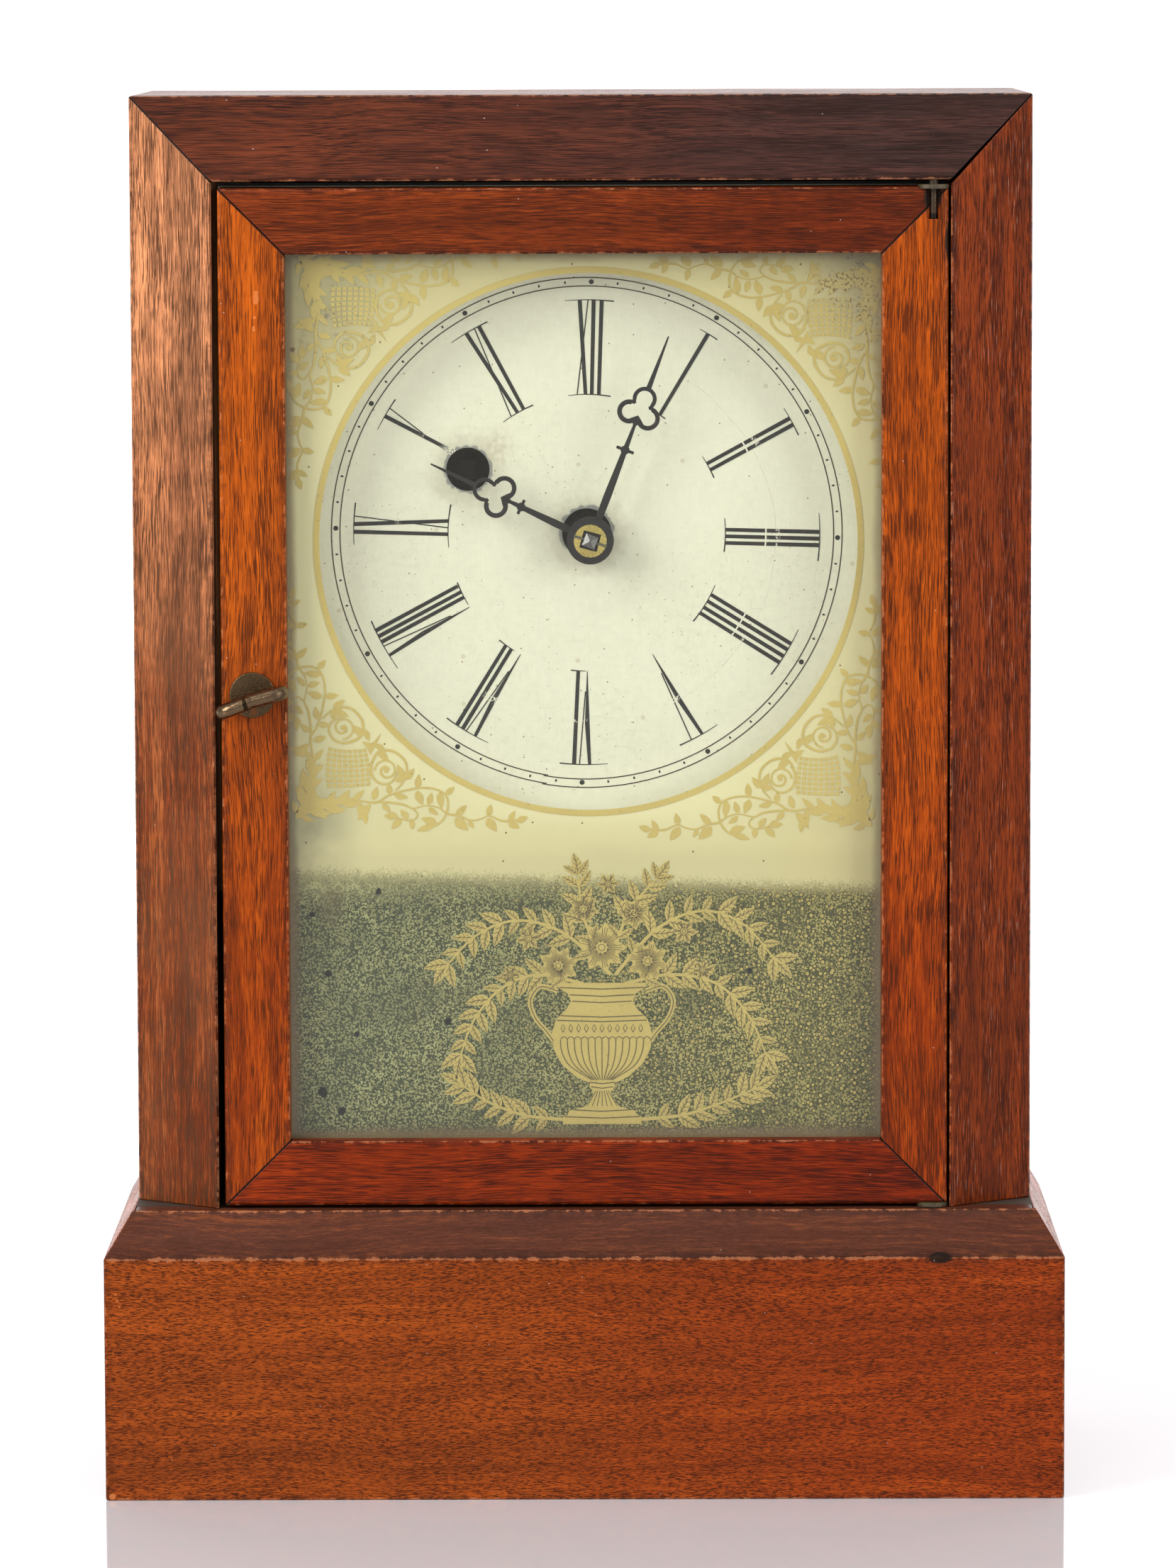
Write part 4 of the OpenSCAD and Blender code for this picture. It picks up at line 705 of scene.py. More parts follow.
def metal(name, colour, dull=0.35, stain=0.5, pits=0.0, brush=None, metallic=1.0, relief=0.03,
          seams_and_shade=()):
    """Worked metal: tarnish in clouds, fine scratches along one axis and pits, with dark seams and
    painted hollow shade at given places.
    """
    f = Finish(name)
    wide = f.noise(f.point, 0.12, detail=4.0, roughness=0.6)
    fine = f.noise(f.point, 2.2, detail=4.0, roughness=0.65)
    stretch = {"x": (0.15, 4, 4), "y": (4, 0.15, 4), "z": (4, 4, 0.15), None: (2, 2, 2)}[brush]
    lines = f.noise(f.vector(f.x * stretch[0], f.y * stretch[1], f.z * stretch[2]), detail=2.0)
    f.skin = f.ramp(wide * 0.5 + fine * 0.5, [
        (0.28, shade(colour, 0.5)), (0.5, colour), (0.74, shade(colour, 1.3)),
    ])
    tarnish = (wide + (fine - 0.5) * 0.5).rise(0.46, 0.68)
    f.coat(tarnish * stain, shade(colour, 0.32))
    hollow = fine.rise(0.6, 0.72)
    f.coat(hollow * pits, shade(colour, 0.25))
    # Dark seams, and painted shade where a pin enters a hollow
    for x, z, wide_by, high_by in seams_and_shade:
        near = ((f.x - x + (f.z - z) * 0.25) / wide_by) ** 2 + ((f.z - z) / high_by) ** 2
        f.coat(near.rise(1.3, 0.5) * 0.9, shade(colour, 0.1))
    f.surface(
        height=lines * 0.5 + fine * 0.5 - hollow * pits, depth=relief,
        Roughness=dull + tarnish * 0.22 + (lines - 0.5) * 0.16 + hollow * pits * 0.2,
        Metallic=metallic - tarnish * 0.35 * stain,
    )
    return f.material


def putty_finish():
    f = Finish("old_putty")
    wide = f.noise(f.point, 0.1, detail=4.0)
    crumb = f.noise(f.point, 1.1, detail=4.0, roughness=0.7)
    f.skin = f.ramp(wide * 0.5 + crumb * 0.5, [
        (0.3, srgb(120, 104, 82)), (0.5, srgb(176, 166, 142)), (0.72, srgb(206, 198, 176)),
    ])
    f.surface(height=crumb, depth=0.2, Roughness=0.85 + (wide - 0.5) * 0.1)
    return f.material


def studio_floor():
    """Glossy white board, bright by itself where it rises behind the clock."""
    f = Finish("studio_floor")
    wide = f.noise(f.point, 0.004, detail=2.0)
    f.skin = f.mix(wide.rise(0.3, 0.7), (0.62, 0.60, 0.62), (0.64, 0.625, 0.64))
    glow = f.mix(f.y.rise(150, 1000), (0.01, 0.009, 0.01), (1.0, 1.0, 1.0))
    f.surface(
        Roughness=0.05 + wide * 0.02, Emission_Color=glow,
        Emission_Strength=1.35, Specular_IOR_Level=0.6,
    )
    return f.material


# Modelling

def nothing_selected():
    if bpy.context.mode != "OBJECT":
        bpy.ops.object.mode_set(mode="OBJECT")
    bpy.ops.object.select_all(action="DESELECT")


def edit_whole():
    """Opens the active object's mesh for editing, with all of it selected."""
    bpy.ops.object.mode_set(mode="EDIT")
    bpy.ops.mesh.select_all(action="SELECT")


def edit_edges(piece, wanted):
    """Opens a mesh for editing, with the edges selected whose ends both pass the test."""
    bpy.ops.object.mode_set(mode="EDIT")
    bpy.ops.mesh.select_mode(type="VERT")
    bpy.ops.mesh.select_all(action="DESELECT")
    bpy.ops.object.mode_set(mode="OBJECT")
    for edge in piece.data.edges:
        edge.select = all(wanted(piece.data.vertices[v].co) for v in edge.vertices)
    bpy.ops.object.mode_set(mode="EDIT")
    bpy.ops.mesh.select_mode(type="EDGE")


def choose(*pieces):
    nothing_selected()
    for piece in pieces:
        piece.select_set(True)
    bpy.context.view_layer.objects.active = pieces[0]


def paint(piece, material):
    piece.data.materials.clear()
    piece.data.materials.append(material)


def settle(piece, name, body, material=None):
    """Names a finished piece, paints it and lets it ride on its body."""
    piece.name = name
    piece.data.name = name
    if material is not None:
        paint(piece, material)
    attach(piece, body)
    return piece


def smooth(piece, degrees=30):
    choose(piece)
    bpy.ops.object.shade_smooth_by_angle(angle=math.radians(degrees))


def copied(node):
    """A copy of a CAD node, free of the frame, which stands for the node."""
    source = frame["nodes"][node]
    piece = source.copy()
    piece.data = source.data.copy()
    bpy.context.scene.collection.objects.link(piece)
    piece.parent = None
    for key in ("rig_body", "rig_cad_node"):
        del piece[key]
    choose(piece)
    edit_whole()
    bpy.ops.mesh.remove_doubles(threshold=0.000002)
    bpy.ops.mesh.normals_make_consistent(inside=False)
    bpy.ops.mesh.dissolve_limited(angle_limit=math.radians(0.5))
    bpy.ops.object.mode_set(mode="OBJECT")
    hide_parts(node)
    return piece


def eased(node, width, segments=2):
    """A copy of a CAD node with its sharp edges rounded off."""
    piece = copied(node)
    bevel = piece.modifiers.new("Ease", "BEVEL")
    bevel.width = width
    bevel.segments = segments
    bevel.limit_method = "ANGLE"
    bevel.angle_limit = math.radians(32)
    bevel.use_clamp_overlap = False
    bpy.ops.object.modifier_apply(modifier="Ease")
    smooth(piece, 40)
    weighted = piece.modifiers.new("Flat faces", "WEIGHTED_NORMAL")
    weighted.weight = 100
    weighted.keep_sharp = True
    bpy.ops.object.modifier_apply(modifier="Flat faces")
    return piece


def swollen(node, by):
    """A copy of a CAD node, a little thicker all over."""
    piece = copied(node)
    swell = piece.modifiers.new("Swell", "DISPLACE")
    swell.strength = by * MM
    swell.mid_level = 0
    bpy.ops.object.modifier_apply(modifier="Swell")
    smooth(piece, 40)
    return piece


def joined(name, pieces):
    choose(*pieces)
    if len(pieces) > 1:
        bpy.ops.object.join()
    piece = bpy.context.view_layer.objects.active
    piece.name = name
    return piece


def placed(piece, *matrices):
    """Copies of a piece, each with its own mesh; the piece itself goes away."""
    copies = []
    for matrix in matrices:
        copy = piece.copy()
        copy.data = piece.data.copy()
        bpy.context.scene.collection.objects.link(copy)
        step = next(STEPS) if len(matrices) > 1 else 0
        copy.data.transform(shift(0, step) @ matrix)
        if matrix.determinant() < 0:
            copy.data.flip_normals()
        copies.append(copy)
    bpy.data.objects.remove(piece)
    return copies


# Depths in turn, so that no two plates that overlap share a plane
STEPS = itertools.cycle(i * 7 % 23 * 0.0012 for i in range(23))


def plate(outline, thick=0.02):
    """A thin plate in x and z: a filled circle shaped to its outline, then extruded back."""
    step = next(STEPS)
    nothing_selected()
    bpy.ops.mesh.primitive_circle_add(vertices=len(outline), radius=1, fill_type="NGON")
    piece = bpy.context.active_object
    for vertex, (x, z) in zip(piece.data.vertices, outline):
        vertex.co = (x * MM, step * MM, z * MM)
    edit_whole()
    bpy.ops.mesh.extrude_region_move(TRANSFORM_OT_translate={"value": (0, thick * MM, 0)})
    bpy.ops.mesh.select_all(action="SELECT")
    bpy.ops.mesh.normals_make_consistent(inside=False)
    bpy.ops.object.mode_set(mode="OBJECT")
    return piece


def ribbon(points, widths, closed=False, thick=0.02):
    """A flat ribbon along points in x and z, with one width or a width for each point."""
    nothing_selected()
    bpy.ops.curve.primitive_nurbs_path_add()
    piece = bpy.context.active_object
    curve = piece.data
    curve.splines.clear()
    spline = curve.splines.new("POLY")
    spline.points.add(len(points) - 1)
    if not hasattr(widths, "__len__"):
        widths = [widths] * len(points)
    widest = max(widths)
    for point, (x, z), width in zip(spline.points, points, widths):
        point.co = (x * MM, 0, z * MM, 1)
        point.radius = width / widest
    spline.use_cyclic_u = closed
    spline.use_smooth = False
    curve.bevel_depth = widest * MM / 2
    curve.bevel_resolution = 0
    curve.use_fill_caps = True
    bpy.ops.object.convert(target="MESH")
    piece = bpy.context.active_object
    piece.data.transform(Matrix.Diagonal((1, thick / widest, 1, 1)))
    piece.data.transform(shift(0, next(STEPS)))
    return piece


def arc(x, z, radius, start, stop, count):
    """Points on an arc, its angles in degrees from the right, counter-clockwise."""
    angles = [math.radians(start + (stop - start) * i / count) for i in range(count + 1)]
    return [(x + radius * math.cos(a), z + radius * math.sin(a)) for a in angles]


def circle(x, z, radius, count):
    return arc(x, z, radius, 0, 360, count)[:-1]


def through(points, steps=6):
    """A smooth line through points, as more points between them."""
    line = []
    last = len(points) - 1
    for i in range(last):
        before, start = points[max(i - 1, 0)], points[i]
        stop, after = points[i + 1], points[min(i + 2, last)]
        for step in range(steps):
            t = step / steps
            line.append(tuple(
                0.5 * (2 * b + (c - a) * t + (2 * a - 5 * b + 4 * c - d) * t * t
                       + (3 * b - a - 3 * c + d) * t ** 3)
                for a, b, c, d in zip(before, start, stop, after)
            ))
    return line + [points[-1]]


def shift(x=0.0, y=0.0, z=0.0):
    return Matrix.Translation((x * MM, y * MM, z * MM))


def turn(degrees):
    """A turn in x and z, counter-clockwise as seen from the front."""
    return Matrix.Rotation(math.radians(-degrees), 4, "Y")


# Dial print

# Each hour's strokes, by the places of their left edges at the outer and inner radius (a thin
# stroke's follow), then how far its serifs reach left and right at the outer and inner radius
NUMERALS = (
    ((("X", -2.85, -1.15, -0.75, -2.75), ("I", 0.2, 0.2), ("I", 1.95, 1.75)),
     (-5.7, 5.0), (-4.6, 4.7)),
    ((("I", -0.15, 0.0),), (-1.9, 2.6), (-0.7, 1.8)),
    ((("I", -0.9, -0.9), ("I", 0.65, 0.65)), (-3.1, 3.6), (-2.4, 2.9)),
    ((("I", -1.55, -1.62), ("I", -0.07, -0.18), ("I", 1.35, 1.28)), (-5.3, 5.2), (-3.8, 3.6)),
    ((("I", -2.62, -2.78), ("I", -1.13, -1.18), ("I", 0.57, 0.4), ("I", 2.2, 1.88)),
     (-5.8, 5.8), (-4.7, 4.6)),
    ((("V", -1.12, 0.2, 1.78),), (-4.7, 4.7), None),
    ((("V", -1.92, -0.75, 0.52), ("I", 1.45, 0.95)), (-5.6, 5.0), (-0.4, 2.9)),
    ((("V", -2.42, -1.4, 0.06), ("I", 0.7, 0.65), ("I", 2.2, 2.1)), (-5.3, 5.3), (0.2, 4.3)),
    ((("V", -2.95, -1.9, -0.38), ("I", 0.4, 0.32), ("I", 1.77, 1.64), ("I", 3.18, 3.1)),
     (-6.0, 5.9), (-1.2, 4.2)),
    ((("I", -1.07, -1.18), ("X", 0.6, 1.72, 2.65, 0.45)), (-3.5, 5.7), (-3.8, 5.7)),
    ((("X", -1.2, 0.1, 1.08, -1.15),), (-4.2, 3.5), (-3.4, 3.2)),
    ((("X", -2.25, -0.8, 0.1, -2.2), ("I", 0.9, 0.72)), (-5.7, 3.4), (-4.2, 3.3)),
)


# The track's lines are drawn from near their foot, clockwise in degrees, past their own start and
# a little outside it at the end, in millimetres
TRACK_START, TRACK_SWEEP, TRACK_POINTS, TRACK_DRIFT = 188, 361, 240, 0.22


def numeral_strokes(letters, sizes):
    """The strokes of one numeral, as outlines in reading direction and outward radius."""
    inner, outer = sizes.numeral_inner / MM, sizes.numeral_outer / MM
    thick, thin = sizes.numeral_stroke / MM, sizes.hairline / MM
    middle = inner + (outer - inner) * 0.56
    strokes = []
    for letter, out, low, *more in letters:
        if letter == "V":
            lean = out + (low - out) * 0.44
            strokes.append([
                (low, inner), (low + 0.12, inner), (lean + thick * 1.3, middle),
                (out + thick * 0.85, outer), (out, outer), (lean, middle),
            ])
            strokes.append([
                (low + 0.25, inner + 4.5), (low + 0.25 + thin, inner + 4.5),
                (more[0] + thin, outer), (more[0], outer),
            ])
            continue
        strokes.append([
            (low, inner), (low + thick * 0.93, inner), (out + thick * 1.06, outer), (out, outer),
        ])
        if letter == "X":
            strokes.append([
                (more[1], inner), (more[1] + thin, inner),
                (more[0] + thin, outer), (more[0], outer),
            ])
    return strokes


def dial_place(sizes):
    """From the dial's own centre and upright to its place on the clock."""
    turned = turn(-math.degrees(sizes.dial_turn))
    return shift(sizes.dial_x / MM, DIAL_FACE + PRINT_DEPTH, sizes.dial_z / MM) @ turned


# How far the frame's outer edge lies behind its face, and the size of the base's bevel, in
# millimetres
FRAME_CANT = 13
BEVEL_HIGH, BEVEL_DEEP = 9.8, 6


class CLOCK_OT_case(bpy.types.Operator):
    """Eases and finishes the case: frame, sides, top, base and bare back"""

    bl_idname = "clock.case"
    bl_label = "Case"

    def execute(self, context):
        colours, sizes = context.scene.clock_colours, context.scene.clock_sizes
        low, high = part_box("frame_stile_left")
        open_x = high.x / MM
        face = low.y / MM
        rim = face + FRAME_CANT
        outer = low.x / MM
        top = plane_of("frame_top_rail", "Z", True)
        head = plane_of("frame_top_rail", "Z", False)
        base_top = plane_of("plinth_front", "Z", True)
        base_x = plane_of("plinth_front", "X", True)
        front = plane_of("plinth_front", "Y", False)
        stile_edges = (("x", open_x, "y", face), ("x", outer, "y", rim), ("z", base_top, "y", face))
        right_edges = tuple((a, -p if a == "x" else p, b, q) for a, p, b, q in stile_edges)
        rail_edges = (("z", head, "y", face), ("z", top, "y", rim))
        bevel_z = base_top - BEVEL_HIGH
        plinth_edges = (
            ("z", bevel_z, "y", front), ("z", base_top, "y", front + BEVEL_DEEP),
            ("x", base_x, "y", front), ("x", -base_x, "y", front), ("z", 0, "y", front),
        )
        corner = top + outer
        finishes = {
            # The left stile's light colour and its fade downward are a painted sheen, the right
            # stile's dark colour is painted shade, and the top rail's fade to grey is a painted
            # reflection
            "frame_stile_left": wood(
                "stile_left_wood", colours.stile_left, "z", stile_edges, ((1, corner),),
                pore=(6.5, 0.2), pores=0.9, wave=4.0, dust=0.4, seed=3, ripple=0.6, gilt=0.1,
                fade=("z", 270, 150, srgb(126, 56, 18)),
            ),
            "frame_stile_right": wood(
                "stile_right_wood", colours.stile_right, "z", right_edges, ((-1, corner),),
                pore=(4.5, 0.2), pores=0.8, wave=3.0, spread=0.36, polish=0.12, glints=0.2,
                seed=41, ripple=0.3,
            ),
            "frame_top_rail": wood(
                "top_rail_wood", colours.top_rail, "x", rail_edges, ((-1, corner), (1, corner)),
                pore=(10.0, 0.16), pores=0.85, seed=17, dust=0.6, gilt=0.1,
                fade=("x", -60, 80, srgb(58, 32, 27)),
            ),
            "plinth_front": wood(
                "plinth_wood", colours.base, "x", plinth_edges, pore=(1.2, 0.15), pores=0.85,
                wave=9.0, spread=0.7, polish=0.08, dust=0.35, clump=0.12,
                # The bevel's colour carries a painted reflection of the light above
                cap=(bevel_z, colours.chamfer), fade=("x", -60, 90, srgb(141, 54, 12)),
                marks=PLINTH_MARKS, hollow_stain_and_shade=PLINTH_HOLLOW_STAIN_AND_SHADE,
            ),
        }
        for side, seed in (("left", 9), ("right", 29)):
            finishes["plinth_" + side] = wood(
                f"plinth_{side}_wood", colours.base, "y", pore=(1.3, 0.3), pores=0.7, seed=seed,
            )
        for side, seed in (("left", 5), ("right", 55)):
            finishes["side_board_" + side] = wood(
                f"side_{side}_wood", colours.sides, "z", pore=(2.6, 0.3), wave=7.0, seed=seed,
            )
        finishes["top_board"] = wood(
            "top_wood", colours.sides, "x", pore=(2.6, 0.3), wave=7.0, polish=0.2, seed=12,
        )
        for node, material in finishes.items():
            piece = eased(node, sizes.ease)
            settle(piece, node + "_wood", "case", material)
        pine = {
            "back_board": bare_wood("back_pine", colours.pine, "z"),
            "movement_cleats": bare_wood("cleat_pine", colours.pine, "z", 70),
            "dial_strips": bare_wood("strip_pine", colours.pine, "z", 20),
            "floor_board": bare_wood("floor_pine", srgb(50, 38, 28), "x", 40),
        }
        for node, material in pine.items():
            paint(frame["nodes"][node], material)
        return {"FINISHED"}


class CLOCK_OT_door(bpy.types.Operator):
    """Eases and finishes the door's four members and its putty"""

    bl_idname = "clock.door"
    bl_label = "Door"

    def execute(self, context):
        colours, sizes = context.scene.clock_colours, context.scene.clock_sizes
        left = plane_of("door_stile_left", "X", False)
        right = plane_of("door_stile_right", "X", True)
        foot = plane_of("door_bottom_rail", "Z", False)
        head = plane_of("door_top_rail", "Z", True)
        face = plane_of("door_stile_left", "Y", False)
        outline = (("x", left, "y", face), ("x", right, "y", face), ("z", foot, "y", face),
                   ("z", head, "y", face))
        sight = (("x", SIGHT_LEFT, "y", face), ("x", SIGHT_RIGHT, "y", face),
                 ("z", SIGHT_FOOT, "y", face), ("z", SIGHT_HEAD, "y", face))
        edges = {
            "door_stile_left": (outline[0], sight[0]), "door_stile_right": (outline[1], sight[1]),
            "door_bottom_rail": (outline[2], sight[2]), "door_top_rail": (outline[3], sight[3]),
        }
        head_left, head_right = (1, head + left), (-1, head - right)
        foot_left, foot_right = (-1, foot - left), (1, foot + right)
        red, dark = srgb(116, 32, 2), srgb(112, 41, 10)
        looks = {
            "door_stile_left": (colours.door_left, "z", (head_left, foot_left), (6.5, 0.22), 0.82,
                                7, ("z", 230, 110, srgb(143, 55, 3))),
            "door_stile_right": (colours.door_right, "z", (head_right, foot_right), (6.5, 0.22),
                                 0.82, 77, ("z", 190, 90, srgb(134, 47, 2))),
            "door_bottom_rail": (colours.door_foot, "x", (foot_left, foot_right), (7.0, 0.22), 0.8,
                                 23, ("x", -30, 70, red)),
            "door_top_rail": (colours.door_top, "x", (head_left, head_right), (7.0, 0.2), 0.75,
                              61, ("x", -30, 70, dark)),
        }
        for node, (colour, along, mitres, pore, pores, seed, fade) in looks.items():
            material = wood(
                node + "_finish", colour, along, edges[node], mitres, pore, pores, spread=0.42,
                polish=0.12, seed=seed, dust=0.4, fade=fade, ripple=0.3, marks=DOOR_MARKS,
                hollow_stain_and_shade=DOOR_HOLLOW_STAIN_AND_SHADE,
            )
            piece = eased(node, sizes.ease * 0.8)
            settle(piece, node + "_wood", "door", material)
        paint(frame["nodes"]["glazing_putty"], putty_finish())
        paint(frame["nodes"]["door_glass"], window_glass())
        return {"FINISHED"}


class CLOCK_OT_metalwork(bpy.types.Operator):
    """Finishes hinges, latch, nails and the whole movement"""

    bl_idname = "clock.metalwork"
    bl_label = "Metalwork"

    def execute(self, context):
        colours = context.scene.clock_colours
        iron = metal("dull_iron", srgb(76, 60, 44), 0.36, 0.9, 0.9, metallic=0.7, relief=0.1,
                     seams_and_shade=(HINGE_PIN_END_SHADE,))
        washer = metal("washer_metal", srgb(96, 84, 60), 0.36, 0.9, 0.8, metallic=0.6, relief=0.1)
        bronze = metal("latch_bronze", colours.bronze, 0.17, 0.8, 0.8, relief=0.06,
                       seams_and_shade=(RING_LAP,))
        rose = metal("rose_bronze", srgb(102, 82, 58), 0.27, 0.9, 0.9, relief=0.14)
        copper = metal("copper_pin", srgb(128, 82, 50), 0.3, 0.6, 0.4)
        # Dull oiled brass, darkened further as painted shade inside the case, where it shows
        # through the dial's holes
        oiled_and_shaded = metal("oiled_shaded_brass", srgb(80, 70, 34), 0.45, 0.7, 0.2, "x")
        bright = metal("bright_brass", srgb(244, 220, 132), 0.28, 0.15, 0.1)
        brass = metal("movement_brass", colours.brass, 0.38, 0.55, 0.1, "x")
        steel = metal("turned_steel", srgb(124, 122, 120), 0.32, 0.5, 0.3)
        # Blued steel, darkened further as painted shade in the winding hole
        blued_and_shaded = metal("shaded_winding_steel", srgb(44, 41, 38), 0.5, 0.6, 0.4, metallic=0.7)
        spring = metal("spring_steel", srgb(86, 90, 104), 0.28, 0.5, 0.1, "y")
        groups = (
            (iron, ("hinge_pins", "back_nails", "dial_nails", "movement_screws")),
            (washer, ("hinge_washers",)),
            (bronze, ("latch_spindle", "latch_tongue")),
            (copper, ("rose_pin",)),
            (bright, ("hand_washer",)),
            (oiled_and_shaded, ("front_plate", "minute_wheel", "hour_wheel")),
            (brass, (
                "back_plate", "pillars", "pillar_nuts", "suspension_post", "great_wheel",
                "centre_pinion", "centre_wheel", "minute_pinion", "third_wheel", "escape_wheel",
                "crutch", "pendulum_rod", "pendulum_bob", "rating_nut",
            )),
            (blued_and_shaded, ("winding_arbor",)),
            (steel, (
                "click_spring", "click", "ratchet_wheel", "centre_arbor",
                "third_arbor", "escape_arbor", "verge", "taper_pin",
            )),
            (spring, ("mainspring",)),
        )
        for material, nodes in groups:
            for node in nodes:
                paint(frame["nodes"][node], material)
        settle(swollen("latch_ring", 0.08), "latch_ring_bronze", "latch", bronze)
        settle(eased("latch_rose", 0.3 * MM), "latch_rose_bronze", "door", rose)
        return {"FINISHED"}


def trefoil_rim():
    """Forged metal inside a hand's trefoil: a bar round each lobe and a thick crotch below."""
    pieces = []
    for angle, wide in ((90, 0.85), (210, 1.02), (330, 0.98)):
        x, z = (2.5 * part(math.radians(angle)) for part in (math.cos, math.sin))
        line = arc(x, z, 2.6 - wide / 2, angle - 115, angle + 115, 28)
        pieces.append(ribbon(line, wide, thick=0.62))
    crotch = [(-2.5, -3.6), (-1.3, -2.4), (0, -1.35), (1.3, -2.4), (2.5, -3.6), (0.7, -3.0),
              (0.3, -3.9), (-0.3, -3.9), (-0.7, -3.0)]
    pieces += placed(plate(crotch, 0.56), shift(0, -0.28))
    return joined("trefoil_rim", pieces)


class CLOCK_OT_hands(bpy.types.Operator):
    """Eases the hands and gives them blackened, pitted iron"""

    bl_idname = "clock.hands"
    bl_label = "Hands"

    def execute(self, context):
        colours, sizes = context.scene.clock_colours, context.scene.clock_sizes
        black = metal("hand_iron", colours.iron, 0.5, 0.5, 0.6, metallic=0.45)
        for node, body, reach, angle in (
            ("hour_hand", "hour_train", 23.0, 295.7), ("minute_hand", "centre_train", 30.6, 21.1),
        ):
            piece = eased(node, sizes.hand_ease, 1)
            settle(piece, node + "_iron", body, black)
            middle = plane_of(node, "Y", True) - 0.31
            rim = trefoil_rim()
            rim.data.transform(shift(HANDS_X, middle, HANDS_Z) @ turn(-angle) @ shift(0, 0, reach))
            smooth(rim)
            settle(rim, node + "_rim", body, black)
        return {"FINISHED"}


class CLOCK_OT_dial(bpy.types.Operator):
    """Paints the dial and prints its numerals, minute track and dots"""

    bl_idname = "clock.dial"
    bl_label = "Dial"

    def execute(self, context):
        colours, sizes = context.scene.clock_colours, context.scene.clock_sizes
        paint(frame["nodes"]["dial_plate"], dial_paint(colours))
        ink = dial_ink("dial_ink", colours.ink, colours.dial)
        brown = dial_ink("dial_ink_edge", srgb(66, 42, 30), colours.dial)
        strokes, edges = [], []
        for hour, (letters, *reaches) in enumerate(NUMERALS):
            spin = turn(-30 * hour)
            for outline in numeral_strokes(letters, sizes):
                strokes += placed(plate(outline), spin)
                if outline[-1][0] + 0.3 < outline[-2][0]:
                    edges += placed(plate(outline), spin @ shift(-0.07, 0.03))
            for radius, reach in zip((sizes.numeral_outer, sizes.numeral_inner), reaches):
                if reach is None:
                    continue
                radius = radius / MM
                start, stop = (90 - math.degrees(u / radius) for u in reach)
                line = arc(0, 0, radius, start, stop, 10)
                widths = [sizes.hairline / MM * (0.5 + 0.07 * i) for i in range(len(line))]
                strokes += placed(ribbon(line, widths), spin)
        dots = []
        radius = (sizes.track_inner + sizes.track_outer) / MM / 2
        for across, up, minutes in (
            (sizes.hour_dot, sizes.hour_dot, range(0, 60, 5)),
            (sizes.minute_dot * 0.8, sizes.minute_dot * 1.2, [m for m in range(60) if m % 5]),
        ):
            outline = [(across / MM * u, radius + up / MM * r) for u, r in circle(0, 0, 1, 16)]
            dots += placed(plate(outline), *[turn(-6 * m) for m in minutes])
        for radius in (sizes.track_inner, sizes.track_outer):
            line = []
            for i in range(TRACK_POINTS + 1):
                share = i / TRACK_POINTS
                angle = math.radians(TRACK_START + TRACK_SWEEP * share)
                reach = radius / MM + TRACK_DRIFT * share ** 6
                line.append((reach * math.sin(angle), reach * math.cos(angle)))
            edges.append(ribbon(line, sizes.hairline / MM))
        for name, pieces, material in (
            ("dial_numerals", strokes, ink), ("dial_dots", dots, ink), ("dial_lines", edges, brown),
        ):
            piece = joined(name, pieces)
            piece.data.transform(dial_place(sizes))
            settle(piece, name, "case", material)
        return {"FINISHED"}


def leaf_outline(long, wide, lean=0.15):
    """A pointed leaf from its stalk at the origin, along x."""
    half = [(0, 0), (0.12, 0.5), (0.35, 0.95), (0.6, 0.85), (0.82, 0.45), (1, 0)]
    bend = [lean * long * t * t for t, _ in half]
    upper = [(t * long, b + w * wide / 2) for (t, w), b in zip(half, bend)]
    lower = [(t * long, b - w * wide / 2) for (t, w), b in zip(half[1:-1], bend[1:-1])]
    return upper + lower[::-1]


def tangents(line):
    """Each point of a line with the angle that the line runs at there, in degrees."""
    last = len(line) - 1
    found = []
    for i, (x, z) in enumerate(line):
        (x0, z0), (x1, z1) = line[max(i - 1, 0)], line[min(i + 1, last)]
        found.append((x, z, math.degrees(math.atan2(z1 - z0, x1 - x0))))
    return found


def spiral(x, z, radius, start, turns):
    """Points on a clockwise spiral that winds inward from its start angle, in degrees."""
    points = []
    count = int(turns * 20)
    for i in range(count + 1):
        t = i / count
        angle = math.radians(start - 360 * turns * t)
        r = radius * (1 - t) ** 0.8 + 0.35
        points.append((x + r * math.cos(angle), z + r * math.sin(angle)))
    return points


